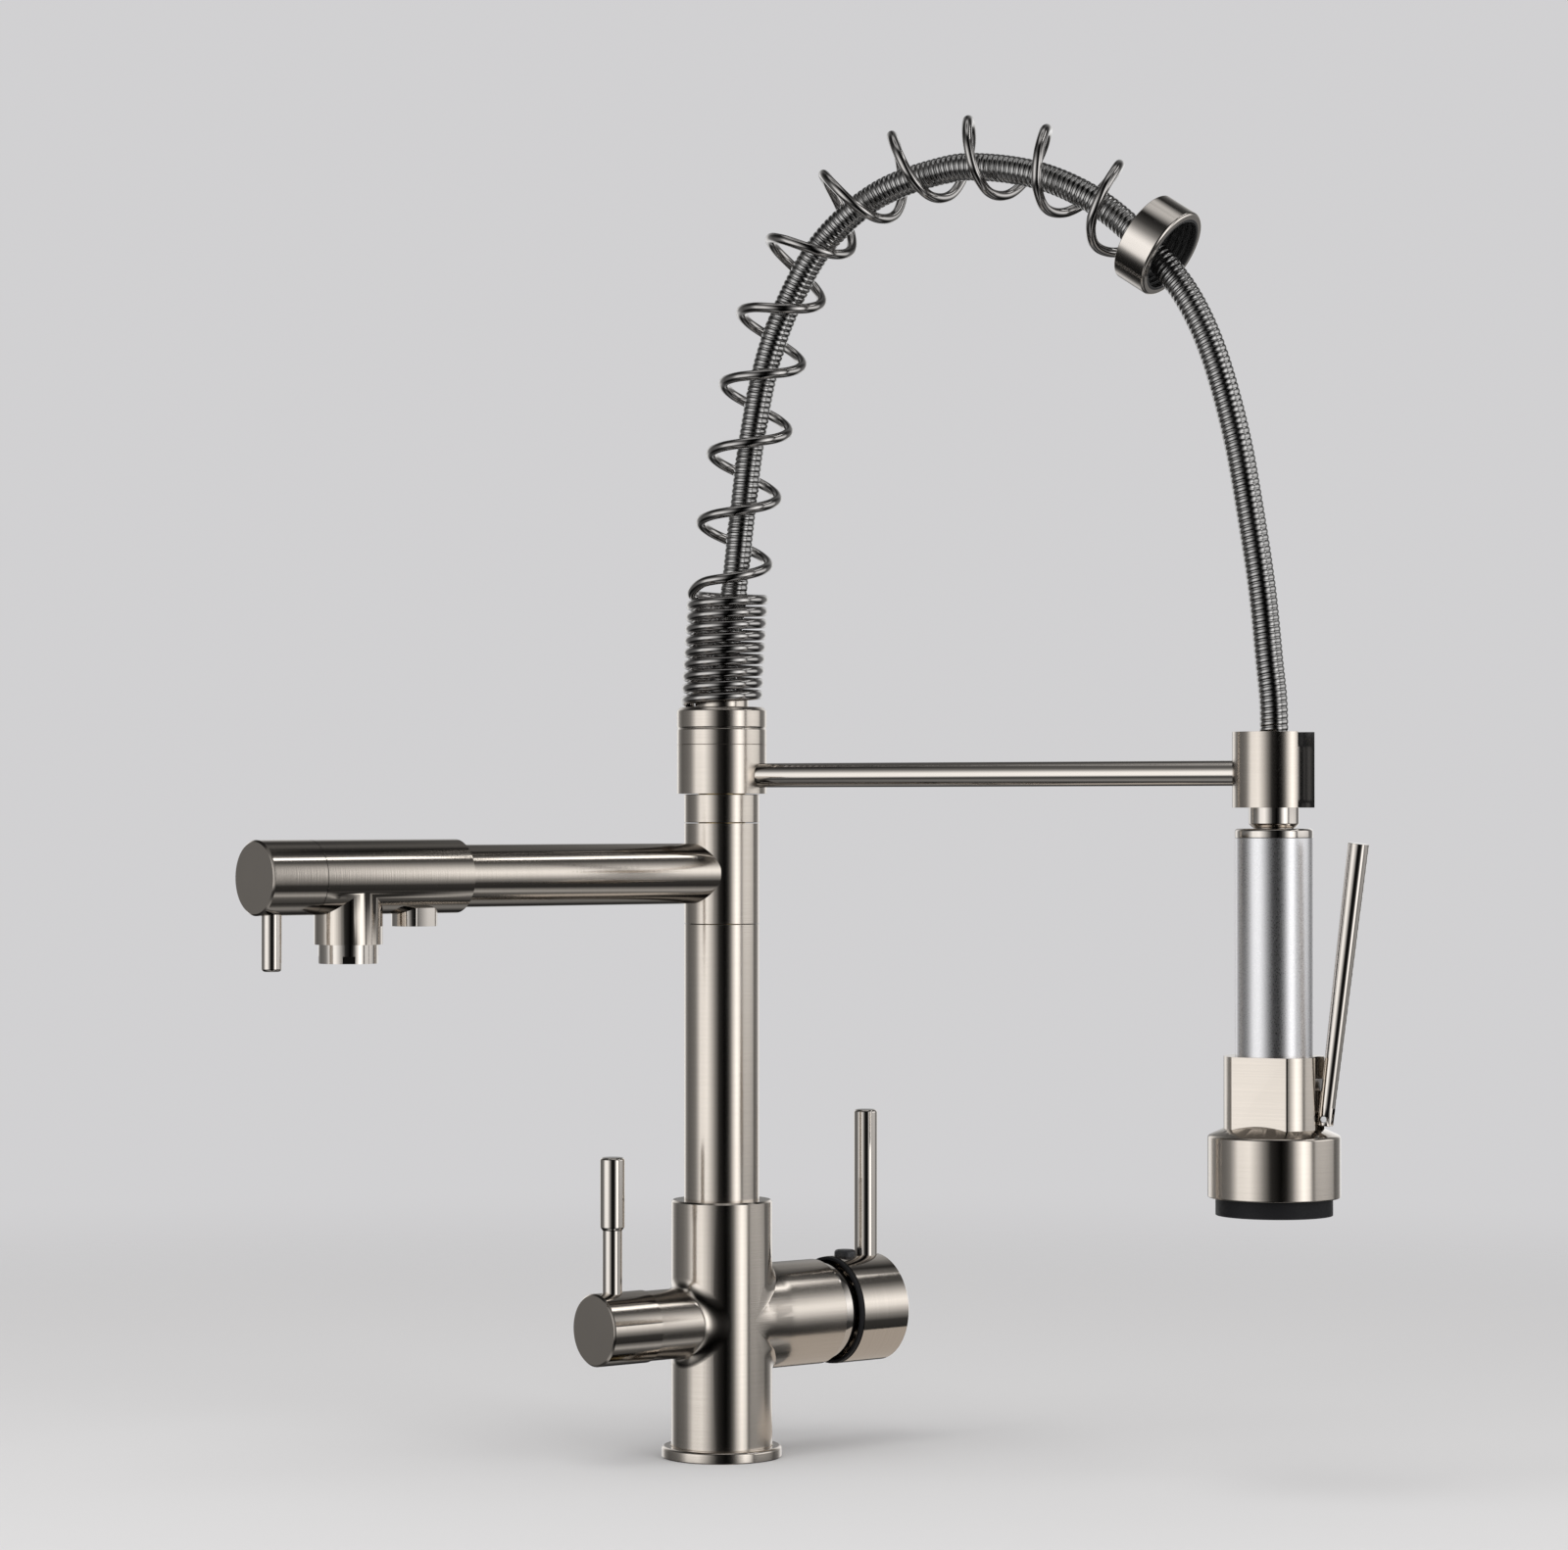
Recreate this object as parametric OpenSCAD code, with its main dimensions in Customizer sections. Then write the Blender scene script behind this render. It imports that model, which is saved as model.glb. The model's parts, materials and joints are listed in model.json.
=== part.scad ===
// Drinking water filter tap: a mixer body on a worktop, a swinging filter spout,
// and a swinging arm with a spring arch, a hose and a pull-down spray head.

/* [Deck mounting] */
// Diameter of the deck flange
flange_d = 51; // [48:0.5:60]
// Height of the deck flange
flange_h = 4.8; // [3.5:0.1:8]
// Diameter of the shank that passes through the worktop
shank_d = 33; // [31.5:0.1:34]
// Length of the shank below the worktop's surface
shank_l = 56; // [50:1:90]
// Wall of the shank
shank_wall = 2.7; // [2:0.1:2.8]
// Thickness of the worktop that the nut clamps
deck_t = 30; // [15:1:34]
// Width of the clamping nut across its flats
nut_af = 46; // [42:0.5:55]
// Height of the clamping nut
nut_h = 10; // [6:0.5:14]
// Diameter of each threaded water inlet
inlet_d = 8.5; // [7:0.1:8.8]

/* [Body] */
// Diameter of the body
body_d = 43; // [41:0.5:46]
// Height of the body
body_h = 109; // [100:1:125]
// Height of the two valve axes above the worktop
valve_z = 58; // [52:0.5:64]
// Diameter of the filter valve's branch
branch_d = 29.4; // [28:0.1:32]
// Distance from the body's axis to the end of the filter branch
branch_l = 41.5; // [38:0.5:46]
// Diameter of the mixer housing
housing_d = 45; // [43:0.5:46]
// Distance from the body's axis to the end of the mixer housing
housing_l = 51; // [49:0.5:54]

/* [Column and spout hub] */
// Diameter of the column
column_d = 32; // [30:0.5:36]
// Wall of the column
column_wall = 2.5; // [1.5:0.1:3.5]
// Length of the column that shows above the body
column_l = 117; // [90:1:150]
// Diameter of the riser that carries water up inside the column
riser_d = 20; // [19:0.5:21]
// Bore of the riser
riser_bore = 14; // [12:0.5:15]
// Height of the hub that the spout swings on
hub_h = 43; // [36:0.5:55]
// Height of the ring between the spout hub and the arm collar
upper_ring_h = 12; // [8:0.5:20]

/* [Filter spout] */
// Diameter of the spout tube
spout_d = 25.5; // [24:0.1:27]
// Wall of the spout tube
spout_wall = 2.2; // [1.5:0.1:3]
// Diameter of the outlet sleeve and its cap
sleeve_d = 30; // [29:0.1:33]
// Distance from the column's axis to the start of the sleeve
sleeve_start = 136; // [120:1:140]
// Distance from the column's axis to the end of the sleeve
sleeve_end = 205.3; // [204:0.1:210]
// Length of the selector cap
cap_l = 25; // [22:0.5:30]
// Distance from the column's axis to the main outlet
main_outlet_x = 187; // [185:0.5:188]
// Diameter of the main outlet's boss
main_boss_d = 27.4; // [26.5:0.1:29]
// Depth of the main outlet's boss below the spout's axis
main_boss_drop = 26.8; // [22:0.1:32]
// Diameter of the main aerator
aerator_d = 24; // [22:0.1:25]
// Height of the main aerator that shows
aerator_h = 7.6; // [5:0.1:10]
// Distance from the column's axis to the filter outlet
filter_outlet_x = 155.6; // [155:0.1:157]
// Diameter of the filter outlet's nozzle
filter_nozzle_d = 18.6; // [17:0.1:20]
// Depth of the filter nozzle below the spout's axis
filter_nozzle_drop = 20; // [18:0.1:24]
// Diameter of the selector pin
selector_d = 8; // [6:0.1:9]
// Depth of the selector pin's end below the spout's axis
selector_drop = 37; // [25:0.5:50]

/* [Filter valve handle] */
// Diameter of the filter knob
knob_d = 30.4; // [29:0.1:33]
// Length of the filter knob
knob_l = 25; // [22:0.5:30]
// Diameter of the filter lever's stem
filter_stem_d = 8.3; // [7:0.1:9]
// Diameter of the filter lever's grip
filter_grip_d = 10.4; // [9.5:0.1:12]
// Height of the filter lever's step above the valve axis
filter_step_h = 41; // [30:0.5:50]
// Height of the filter lever's top above the valve axis
filter_lever_h = 71.5; // [60:0.5:90]

/* [Mixer handle] */
// Diameter of the mixer cap
mixer_cap_d = 46.3; // [46:0.1:48]
// Length of the mixer cap
mixer_cap_l = 25.7; // [24:0.1:30]
// Width of the gap between the housing and the handle, which the tilt needs
mixer_gap = 6.5; // [6.5:0.1:8]
// Thickness of the black seal on the cap's rim
cap_seal_t = 2.3; // [1.5:0.1:3]
// Diameter of the mixer lever
mixer_lever_d = 10.2; // [8:0.1:11]
// Height of the mixer lever's top above the valve axis
mixer_lever_h = 86; // [60:1:110]
// Diameter of the screw cover on the mixer cap
screw_cover_d = 9.4; // [7:0.1:10]

/* [Swinging arm] */
// Diameter of the arm's collar
collar_d = 38.2; // [36:0.1:42]
// Height of the arm's collar
collar_h = 20.7; // [18:0.1:26]
// Height of the spring's seat above the collar
seat_h = 16; // [14:0.5:22]
// Diameter of the arm rod
rod_d = 10.2; // [8:0.1:12]
// Height of the rod's axis above the collar's lower face
rod_rise = 7.7; // [7:0.1:10]
// Distance from the column's axis to the spray head's axis
arm_reach = 251; // [248:0.5:252]
// Direction of the arm, turned from the mixer's side
arm_turn = -66; // [-90:1:0]
// Outer diameter of the spray holder
holder_d = 33; // [32:0.1:36]
// Height of the spray holder
holder_h = 30.2; // [26:0.1:36]
// Bore of the spray holder
holder_bore = 22.4; // [22:0.1:24]
// Width of the holder's hose slot
holder_slot = 18; // [13:0.5:19]

/* [Spring and hose] */
// Outer diameter of the spring
spring_d = 35; // [33:0.5:36]
// Diameter of the spring's wire
wire_d = 4.2; // [3:0.1:4.5]
// Number of close turns on the seat
close_turns = 9; // [4:1:10]
// Pitch of the close turns
close_pitch = 5.04; // [4.8:0.02:5.2]
// Number of open turns round the arch
open_turns = 10.6; // [8:0.1:12]
// Diameter of the hose
hose_d = 11.5; // [10:0.1:11.6]
// Outer diameter of the ring on the spring's far end
ring_d = 38; // [37:0.1:40]
// Length of the ring on the spring's far end
ring_l = 15; // [12:0.5:17]

/* [Spray head] */
// Diameter of the grip
grip_d = 31; // [30:0.1:33]
// Wall of the grip's metal sleeve
grip_wall = 1.8; // [1:0.1:2.5]
// Length of the grip
grip_l = 86.8; // [80:0.2:90]
// Height of the trim ring over the grip
trim_ring_h = 3.8; // [3:0.1:5]
// Diameter of the valve block
block_d = 40; // [39:0.1:42]
// Width of the valve block across its flats
block_af = 33; // [32:0.1:34]
// Height of the valve block
block_h = 30; // [28:0.2:34]
// Diameter of the spray bell
bell_d = 52.8; // [51:0.1:56]
// Height of the spray bell's side
bell_h = 25; // [22:0.2:28]
// Diameter of the rubber spray face
face_d = 46.6; // [44:0.1:48]
// Height of the spray face that shows below the bell
face_drop = 7; // [4:0.1:9]
// Diameter of the spray lever at its top
spray_lever_d = 8.4; // [7:0.1:10]
// Length of the spray lever from its pivot
spray_lever_l = 110; // [80:1:115]
// Outward lean of the spray lever
spray_lever_lean = 7.2; // [6.8:0.1:7.6]

/* [Fits] */
// Radial clearance of shafts that turn or slide in a bore
run_fit = 0.05; // [0.02:0.01:0.1]
// Clearance between pieces that are fixed together
seat_fit = 0.05; // [0.02:0.01:0.1]
// Gap between faces that move past each other
turn_gap = 0.3; // [0.2:0.05:0.4]

/* [Hidden] */
$fn = 64;

// Small overlap that makes cuts break cleanly through a face
cut = 1;
// Width of the fine bevels on turned edges
bevel = 0.8;

// Levels of the column's stack
column_top = body_h + column_l;
hub_bottom = column_top + turn_gap;
hub_top = column_top + hub_h - turn_gap;
ring_bottom = column_top + hub_h;
ring_top = ring_bottom + upper_ring_h;
collar_bottom = ring_top + turn_gap;
collar_top = collar_bottom + collar_h;
seat_bottom = collar_top;
seat_top = seat_bottom + seat_h;
spout_z = column_top + hub_h / 2;
rod_z = collar_bottom + rod_rise;

// Sockets in the body
shank_socket = 10;
column_socket = 12;
riser_socket = 17;
riser_bottom = body_h - column_socket - riser_socket;
riser_entry = 6;
riser_top = seat_bottom + riser_entry;
inlet_circle = 9.3;
mixer_inlets = [60, 300];
filter_inlet = 180;
inlet_depth = 15;
gallery_d = 6;
riser_way_d = 6.8;
gallery_drop = 11;
gallery_z = valve_z - gallery_drop;
water_way_d = 12;
mixed_way_d = 10;

// Clamping parts under the worktop
clamp_d = 50;
clamp_seal_t = 2;
clamp_washer_t = 3;
deck_seal_d = 47;
deck_seal_w = 1.8;
deck_seal_h = 1.5;

// Seals on the riser
seal_wire = 1.8;
seal_groove_w = 2.4;
seal_inset = 6;
seal_levels = [hub_bottom + seal_inset, hub_top - seal_inset];

// Filter valve
valve_bore = 20;
valve_back = 18;
spindle_d = 8;
knob_start = branch_l + turn_gap;
knob_end = knob_start + knob_l;
knob_wall = 2.6;
knob_face_t = 4;
knob_boss_d = 14;
knob_boss_inset = 6;
filter_lever_inset = 15.4;
filter_lever_x = knob_start + filter_lever_inset;

// Mixer housing, which widens where it leaves the body
housing_root_inset = 0.1;
housing_flare_start = 10;
housing_flare_l = 14;

// Mixer: the handle tilts about a ball on the cartridge's axis
cartridge_bore = 36;
cartridge_back = 23;
nut_l = 7;
rotor_d = 20;
rotor_back = 15;
ball_r = 5;
ball_rise = 1;
ball_x = housing_l + ball_rise;
stem_d = 6;
stem_inset = 4;
trim_r = 21.2;
trim_wall = 1.6;
trim_l = 9;
trim_end = housing_l + trim_l;
cap_start = housing_l + mixer_gap + cap_seal_t;
cap_end = cap_start + mixer_cap_l;
cap_wall = 1.6;
cap_seal_inset = 0.15;
cap_face_t = 4;
cap_boss_d = 16;
cap_boss_inset = 4;
cap_boss_start = cap_start + cap_boss_inset;
stem_end = cap_end - cap_face_t - stem_inset;
mixer_lever_inset = 6.8;
mixer_lever_x = cap_end - mixer_lever_inset;
mixer_lever_sink = 2;
mixer_lever_foot = cap_boss_d / 2 + mixer_lever_sink;
screw_cover_inset = 7.4;
screw_cover_x = cap_start + screw_cover_inset;
screw_cover_z = valve_z + mixer_cap_d / 2;
screw_cover_h = 2.4;
screw_cover_seat = 1.2;

// Spout
spigot_d = spout_d - 2 * spout_wall;
spigot_l = 14;
tube_entry = 6;
cap_start_x = sleeve_end + turn_gap;
spout_end = cap_start_x + cap_l;
sleeve_bore = 22;
filter_tube_d = 8;
filter_tube_wall = 1;
filter_tube_start = 3;
spigot_start = 2;
inner_wall_gap = 1;
inner_wall_x = sleeve_start + tube_entry + inner_wall_gap;
inner_wall_t = 3;
sleeve_end_wall = 5.3;
selector_spindle_d = 10;
selector_spindle_l = 12;
selector_inset = 8;
selector_x = spout_end - selector_inset;
selector_cap_wall = 3;
selector_boss_d = 16;
boss_lip = 1;
boss_bore_d = aerator_d - 2 * boss_lip;
aerator_collar = 6;
aerator_wall = 2.2;
screen_t = 2;
screen_hole_d = 1.8;
notch_w = 5;
notch_h = 3;
notch_depth = 1;
notch_turn = 59;
filter_hole_d = 14;
filter_collar = 5;
filter_bore = 9;
filter_nozzle_af = 16.6;

// Arm
rod_socket = 5;
holder_socket = 3;
holder_lift = 1.3;
holder_z = rod_z + holder_lift - holder_h / 2;
seat_groove_z = 7;
seat_groove = 0.5;
seat_bevel = 1.5;
// Nose of the seat inside the spring's first turns
nose_h = 4.5;
nose_play = 2;
nose_d = spring_d - 2 * wire_d - 2 * nose_play;
hose_gap = 0.3;

// Spray head levels
ferrule_d = holder_bore - 2 * turn_gap;
ferrule_recess = 5;
ferrule_top = holder_z + holder_h - ferrule_recess;
neck_d = 20;
neck_waist_d = 17;
neck_l = 8;
spigot_ring_d = 16;
spigot_flange_d = 21;
spigot_flange_t = 4.5;
neck_bottom = holder_z - neck_l;
trim_ring_top = neck_bottom - turn_gap;
grip_top = trim_ring_top - trim_ring_h;
grip_bottom = grip_top - grip_l;
block_bottom = grip_bottom - block_h;
shoulder_drop = 1.2;
bell_shoulder = block_bottom - shoulder_drop;
bell_bottom = bell_shoulder - bell_h;
bell_bore_d = face_d + 2 * seat_fit;
bell_roof_t = 8;
bell_roof_rise = 4;
block_spigot_d = 30;
block_spigot_l = 8;
block_bore = 10;
face_bottom = bell_bottom - face_drop;
face_depth = 11;
face_rim = 3;
face_wall = 4;
nub_d = 2.2;
nub_h = 0.8;
nub_rings = [[6, 6], [11.5, 12], [17, 18]];
screen_rings = [[0, 1], [3, 6], [6, 12]];
screen_inset = 1.5;
disc_t = 2;

// Spray lever and its valve
pivot_x = 22;
pivot_rise = 5.6;
pivot_z = block_bottom + pivot_rise;
groove_x = 16.5;
groove_play = 0.8;
groove_w = spray_lever_d + 2 * groove_play;
tongue_t = 2.2;
tongue_h = 5;
pin_d = 2.4;
pin_l = 5.4;
lever_foot_d = 6.2;
lever_foot_l = 2.6;
lever_fork_h = 4.4;
plunger_d = 5;
plunger_rise = 13.5;
plunger_z = pivot_z + plunger_rise;
plunger_start = 6;
plunger_play = 0.7;
plunger_end = pivot_x + plunger_rise * tan(spray_lever_lean) - lever_foot_d / 2 - plunger_play;

// Routes in the arm's plane: distance from the column's axis, height above the seat
hose_route = [
    [0, -9], [0, 4], [2, 22], [6, 50], [10, 82], [15, 116], [23, 149], [36, 177], [52, 198],
    [76, 214], [105, 221.5], [124, 221.5], [148, 216.5], [170, 206.5], [188, 193], [204, 176.5], [216, 160],
    [226, 138], [235, 107], [241, 76], [246, 45], [249, 17], [251, -3]
];
spring_route = [
    [8, 82], [13, 110], [19, 138], [27, 165], [39, 190], [57, 209], [86, 222.5], [118, 226],
    [148, 220.5], [173, 207.5], [195, 188.5]
];
route_reach = hose_route[len(hose_route) - 1][0];
function in_plane(p) = [p[0] * arm_reach / route_reach, 0, seat_top + p[1]];

hose_sides = 10;
// Depth of the hose inside the spray head, so that the head can be pulled down along it
hose_tail = 62;
hose_end_z = ferrule_top - hose_tail;
hose_points = concat(
    [for (p = hose_route) in_plane(p)],
    [for (k = [1:3]) [arm_reach, 0, ferrule_top - k * hose_tail / 3]]
);

// Ring on the spring's far end, in the arm's plane
ring_tilt = 33;
ring_bore = 30;
ring_back_wall = 3;
ring_back_bore = 23;
ring_groove = 0.8;
ring_groove_w = 1.3;
ring_groove_pitch = 2.6;
ring_groove_start = 6.5;
ring_grooves = 3;
ring_axis = [cos(ring_tilt), 0, -sin(ring_tilt)];
ring_back = in_plane(spring_route[len(spring_route) - 1]);
ring_centre = ring_back + ring_axis * ring_l / 2;

// Spring: close turns that lean a little, then a helix whose pitch grows along its route
spring_r = (spring_d - wire_d) / 2;
rings_per_turn = 8;
wire_sides = 6;
spring_phase = -28;
pitch_growth = 0.06;
stack_lean = 3;
// The wire's lower end stands in a hole in the seat
tail_rise = 1.5;
tail_top = seat_top + tail_rise;
tail_bottom = tail_top - wire_d;
stack_clear = 0.8;
close_start_z = seat_top + wire_d / 2 + stack_clear;
close_end_z = close_start_z + close_turns * close_pitch;
arch_route = concat(
    [[stack_lean, 0, close_end_z]],
    [for (k = [0:len(spring_route) - 2]) in_plane(spring_route[k])],
    [ring_back - ring_axis * wire_d]
);
arch_lengths = running(arch_route);
arch_total = arch_lengths[len(arch_lengths) - 1];

function unit(v) = v / norm(v);
// Running length along a list of points
function running(points, k = 1, sums = [0]) =
    k == len(points) ? sums
    : running(points, k + 1, concat(sums, [sums[k - 1] + norm(points[k] - points[k - 1])]));
// Smooth curve through four neighbouring points
function spline(a, b, c, d, t) =
    0.5 * (2 * b + (c - a) * t + (2 * a - 5 * b + 4 * c - d) * t * t + (3 * b - a - 3 * c + d) * t * t * t);
function segment_of(sums, s, k = 0) = k >= len(sums) - 2 || sums[k + 1] > s ? k : segment_of(sums, s, k + 1);
function point_at(points, sums, s) =
    let (
        k = segment_of(sums, s),
        last = len(points) - 1,
        t = (s - sums[k]) / (sums[k + 1] - sums[k]),
        before = k == 0 ? points[0] * 2 - points[1] : points[k - 1],
        after = k + 1 == last ? points[last] * 2 - points[last - 1] : points[k + 2]
    )
    spline(before, points[k], points[k + 1], after, t);
function on_arch(u) = point_at(arch_route, arch_lengths, min(max(u, 0), 1) * arch_total);
function arch_direction(u) = unit(on_arch(u + 0.004) - on_arch(u - 0.004));
// Share of the arch's length at a share of its turns
function along(t) = t * (1 - pitch_growth) + pitch_growth * t * t;
// Point of the helix round a centre whose line runs along d in the arm's plane
function helix_point(centre, d, angle) =
    centre + spring_r * (cos(angle) * [-d[2], 0, d[0]] + sin(angle) * [0, 1, 0]);

close_steps = close_turns * rings_per_turn;
open_steps = round(open_turns * rings_per_turn);
step_angle = -360 / rings_per_turn;
// Part of a step between a straight end of the wire and the helix
end_share = 0.6;
up = [0, 0, 1];
tail_point = helix_point([0, 0, 0], up, spring_phase - end_share * step_angle);
last_angle = spring_phase + (close_steps + open_steps + end_share) * step_angle;
last_turn = helix_point(ring_back, ring_axis, last_angle);
spring_path = concat(
    [[tail_point[0], tail_point[1], tail_bottom], [tail_point[0], tail_point[1], tail_top]],
    [for (k = [0:close_steps])
        helix_point([stack_lean * k / close_steps, 0, close_start_z + k * close_pitch / rings_per_turn], up,
            spring_phase + k * step_angle)],
    [for (k = [1:open_steps]) let (u = along(k / open_steps))
        helix_point(on_arch(u), arch_direction(u), spring_phase + (close_steps + k) * step_angle)],
    [last_turn - ring_axis * wire_d, last_turn]
);
path_count = len(spring_path);
// Least gap between strands that lie more than half a turn apart along the wire
strand_gaps = [for (i = [0:path_count - 1])
    for (j = [i + rings_per_turn / 2 + 1:1:min(i + 2 * rings_per_turn, path_count - 1)])
        norm(spring_path[i] - spring_path[j]) - wire_d];
echo(least_spring_gap = min(strand_gaps));

// Faces of a closed tube whose rings all have the same number of sides
function tube_faces(rings, sides) = concat(
    [for (i = [0:rings - 2]) for (j = [0:sides - 1]) let (n = (j + 1) % sides)
        [i * sides + j, i * sides + n, (i + 1) * sides + n]],
    [for (i = [0:rings - 2]) for (j = [0:sides - 1]) let (n = (j + 1) % sides)
        [i * sides + j, (i + 1) * sides + n, (i + 1) * sides + j]],
    [for (j = [1:sides - 2]) [0, j + 1, j]],
    [for (j = [1:sides - 2]) let (b = (rings - 1) * sides) [b, b + j, b + j + 1]]
);
// Direction of a path at one of its points; the ends keep their own straight runs
function path_direction(path, i) =
    i == 0 ? unit(path[1] - path[0])
    : i == len(path) - 1 ? unit(path[i] - path[i - 1])
    : unit(unit(path[i + 1] - path[i]) + unit(path[i] - path[i - 1]));
// Cross direction carried along a path without twist
function carried(path, side, i = 0, found = []) =
    i == len(path) ? found
    : let (d = path_direction(path, i), s = unit(side - (side * d) * d))
    carried(path, s, i + 1, concat(found, [s]));

// A tube swept along a path; its radius is that of the corners
module swept_tube(path, radius, sides, side) {
    across = carried(path, side);
    points = [for (i = [0:len(path) - 1])
        let (d = path_direction(path, i), a = across[i], b = cross(d, a))
        for (j = [0:sides - 1])
            path[i] + radius * (cos(360 * j / sides) * a + sin(360 * j / sides) * b)];
    polyhedron(points, tube_faces(len(path), sides));
}

// Frames: the arm turns about the column, and the spray head hangs at its end
module on_arm() { rotate([0, 0, arm_turn]) children(); }
module at_spray() { on_arm() translate([arm_reach, 0, 0]) children(); }
// Lay a shape's own Z axis along the spout or a valve axis
module toward_mixer(z) { translate([0, 0, z]) rotate([0, 90, 0]) children(); }
module toward_filter(z) { translate([0, 0, z]) rotate([0, -90, 0]) children(); }

// A tube from one level to another
module pipe(outer_d, inner_d, from, to) {
    difference() {
        translate([0, 0, from]) cylinder(d = outer_d, h = to - from);
        translate([0, 0, from - cut]) cylinder(d = inner_d, h = to - from + 2 * cut);
    }
}
// A rod from one level to another
module rod(d, from, to) { translate([0, 0, from]) cylinder(d = d, h = to - from); }
// A rod with a fine bevel on its upper edge
module bevelled_rod(d, from, to, b = bevel) {
    rotate_extrude() polygon([[0, from], [d / 2, from], [d / 2, to - b], [d / 2 - b, to], [0, to]]);
}
// A cup with its open end at one level and a bevelled face at another
module cup(outer_d, wall, face_t, from, to, b = bevel) {
    difference() {
        bevelled_rod(outer_d, from, to, b);
        translate([0, 0, from - cut]) cylinder(d = outer_d - 2 * wall, h = to - face_t - from + cut);
    }
}

module nickel() { color([0.72, 0.69, 0.65]) children(); }
module steel() { color([0.62, 0.62, 0.64]) children(); }
module brass() { color([0.75, 0.62, 0.35]) children(); }
module black() { color([0.08, 0.08, 0.09]) children(); }
module plastic() { color([0.85, 0.85, 0.82]) children(); }

module deck_flange() {
    nickel() difference() {
        bevelled_rod(flange_d, 0, flange_h);
        translate([0, 0, -cut]) cylinder(d = body_d + 2 * seat_fit, h = flange_h + 2 * cut);
        pipe(deck_seal_d + deck_seal_w, deck_seal_d - deck_seal_w, -cut, deck_seal_h + seat_fit);
    }
}

module deck_seal() {
    black() pipe(deck_seal_d + deck_seal_w - seat_fit, deck_seal_d - deck_seal_w + seat_fit, 0, deck_seal_h);
}

module mounting_shank() {
    brass() pipe(shank_d, shank_d - 2 * shank_wall, -shank_l, shank_socket - seat_fit);
}

module clamp_ring(thickness, top) {
    pipe(clamp_d, shank_d + 2 * turn_gap, top - thickness, top);
}

module clamp_seal() { black() clamp_ring(clamp_seal_t, -deck_t); }

module clamp_washer() { steel() clamp_ring(clamp_washer_t, -deck_t - clamp_seal_t); }

module lock_nut() {
    top = -deck_t - clamp_seal_t - clamp_washer_t;
    brass() difference() {
        translate([0, 0, top - nut_h]) cylinder(d = nut_af / cos(30), h = nut_h, $fn = 6);
        rod(shank_d + 2 * seat_fit, top - nut_h - cut, top + cut);
    }
}

// Outside of the mixer housing, along its own axis, widening where it leaves the body
module housing_form() {
    r = housing_d / 2;
    root_r = body_d / 2 - housing_root_inset;
    rotate_extrude() polygon([
        [0, 0], [root_r, 0], [root_r, housing_flare_start], [r, housing_flare_start + housing_flare_l],
        [r, housing_l - bevel], [r - bevel, housing_l], [0, housing_l]
    ]);
}

module tap_body() {
    nickel() difference() {
        union() {
            bevelled_rod(body_d, 0, body_h);
            toward_filter(valve_z) rod(branch_d, 0, branch_l);
            toward_mixer(valve_z) housing_form();
        }
        rod(shank_d + 2 * seat_fit, -cut, shank_socket);
        rod(column_d + 2 * seat_fit, body_h - column_socket, body_h + cut);
        rod(riser_d + 2 * seat_fit, riser_bottom, body_h - column_socket + cut);
        rod(water_way_d, valve_z - gallery_d, riser_bottom + cut);
        toward_mixer(valve_z) {
            rod(cartridge_bore + 2 * seat_fit, cartridge_back, housing_l + cut);
            rod(mixed_way_d, 0, cartridge_back + cut);
        }
        toward_filter(valve_z) {
            rod(valve_bore + 2 * seat_fit, valve_back, branch_l + cut);
            rod(gallery_d, inlet_circle, valve_back + cut);
        }
        for (a = concat(mixer_inlets, [filter_inlet])) rotate([0, 0, a]) translate([inlet_circle, 0, 0]) {
            rod(inlet_d, shank_socket - cut, shank_socket + inlet_depth);
            rod(riser_way_d, shank_socket, (a == filter_inlet ? valve_z : gallery_z) + riser_way_d / 3);
        }
        for (a = mixer_inlets) translate([inlet_circle * cos(a), inlet_circle * sin(a), 0])
            toward_mixer(gallery_z) rod(gallery_d, 0, cartridge_back - inlet_circle * cos(a) + cut);
    }
}

module column_tube() {
    nickel() pipe(column_d, column_d - 2 * column_wall, body_h - column_socket, column_top);
}

module column_bush() {
    bush_h = 10;
    bush_d = column_d - 2 * column_wall - 2 * seat_fit;
    plastic() pipe(bush_d, riser_d + 2 * seat_fit, column_top - bush_h, column_top);
}

module riser_tube() {
    groove_d = riser_d - 2 * seal_wire;
    brass() difference() {
        pipe(riser_d, riser_bore, riser_bottom, riser_top);
        for (z = seal_levels) pipe(riser_d + cut, groove_d, z - seal_groove_w / 2, z + seal_groove_w / 2);
    }
}

module hub_seals() {
    black() for (z = seal_levels) translate([0, 0, z]) rotate_extrude()
        translate([(riser_d - seal_wire) / 2, 0]) circle(d = seal_wire - 2 * run_fit);
}

module upper_ring() {
    nickel() pipe(column_d, riser_d + 2 * seat_fit, ring_bottom, ring_top);
}

module filter_valve() {
    brass() toward_filter(valve_z) pipe(valve_bore, spindle_d + 2 * run_fit, valve_back, branch_l);
}

module filter_spindle() {
    brass() toward_filter(valve_z) rod(spindle_d, valve_back + cut, knob_end - knob_face_t);
}

module filter_knob() {
    nickel() difference() {
        toward_filter(valve_z) union() {
            cup(knob_d, knob_wall, knob_face_t, knob_start, knob_end);
            rod(knob_boss_d, knob_start + knob_boss_inset, knob_end - knob_face_t + seat_fit);
        }
        toward_filter(valve_z) rod(spindle_d + 2 * seat_fit, knob_start, knob_end - knob_face_t);
        translate([-filter_lever_x, 0, 0])
            rod(filter_stem_d + 2 * seat_fit, valve_z + knob_boss_d / 2, valve_z + knob_d);
    }
}

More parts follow.
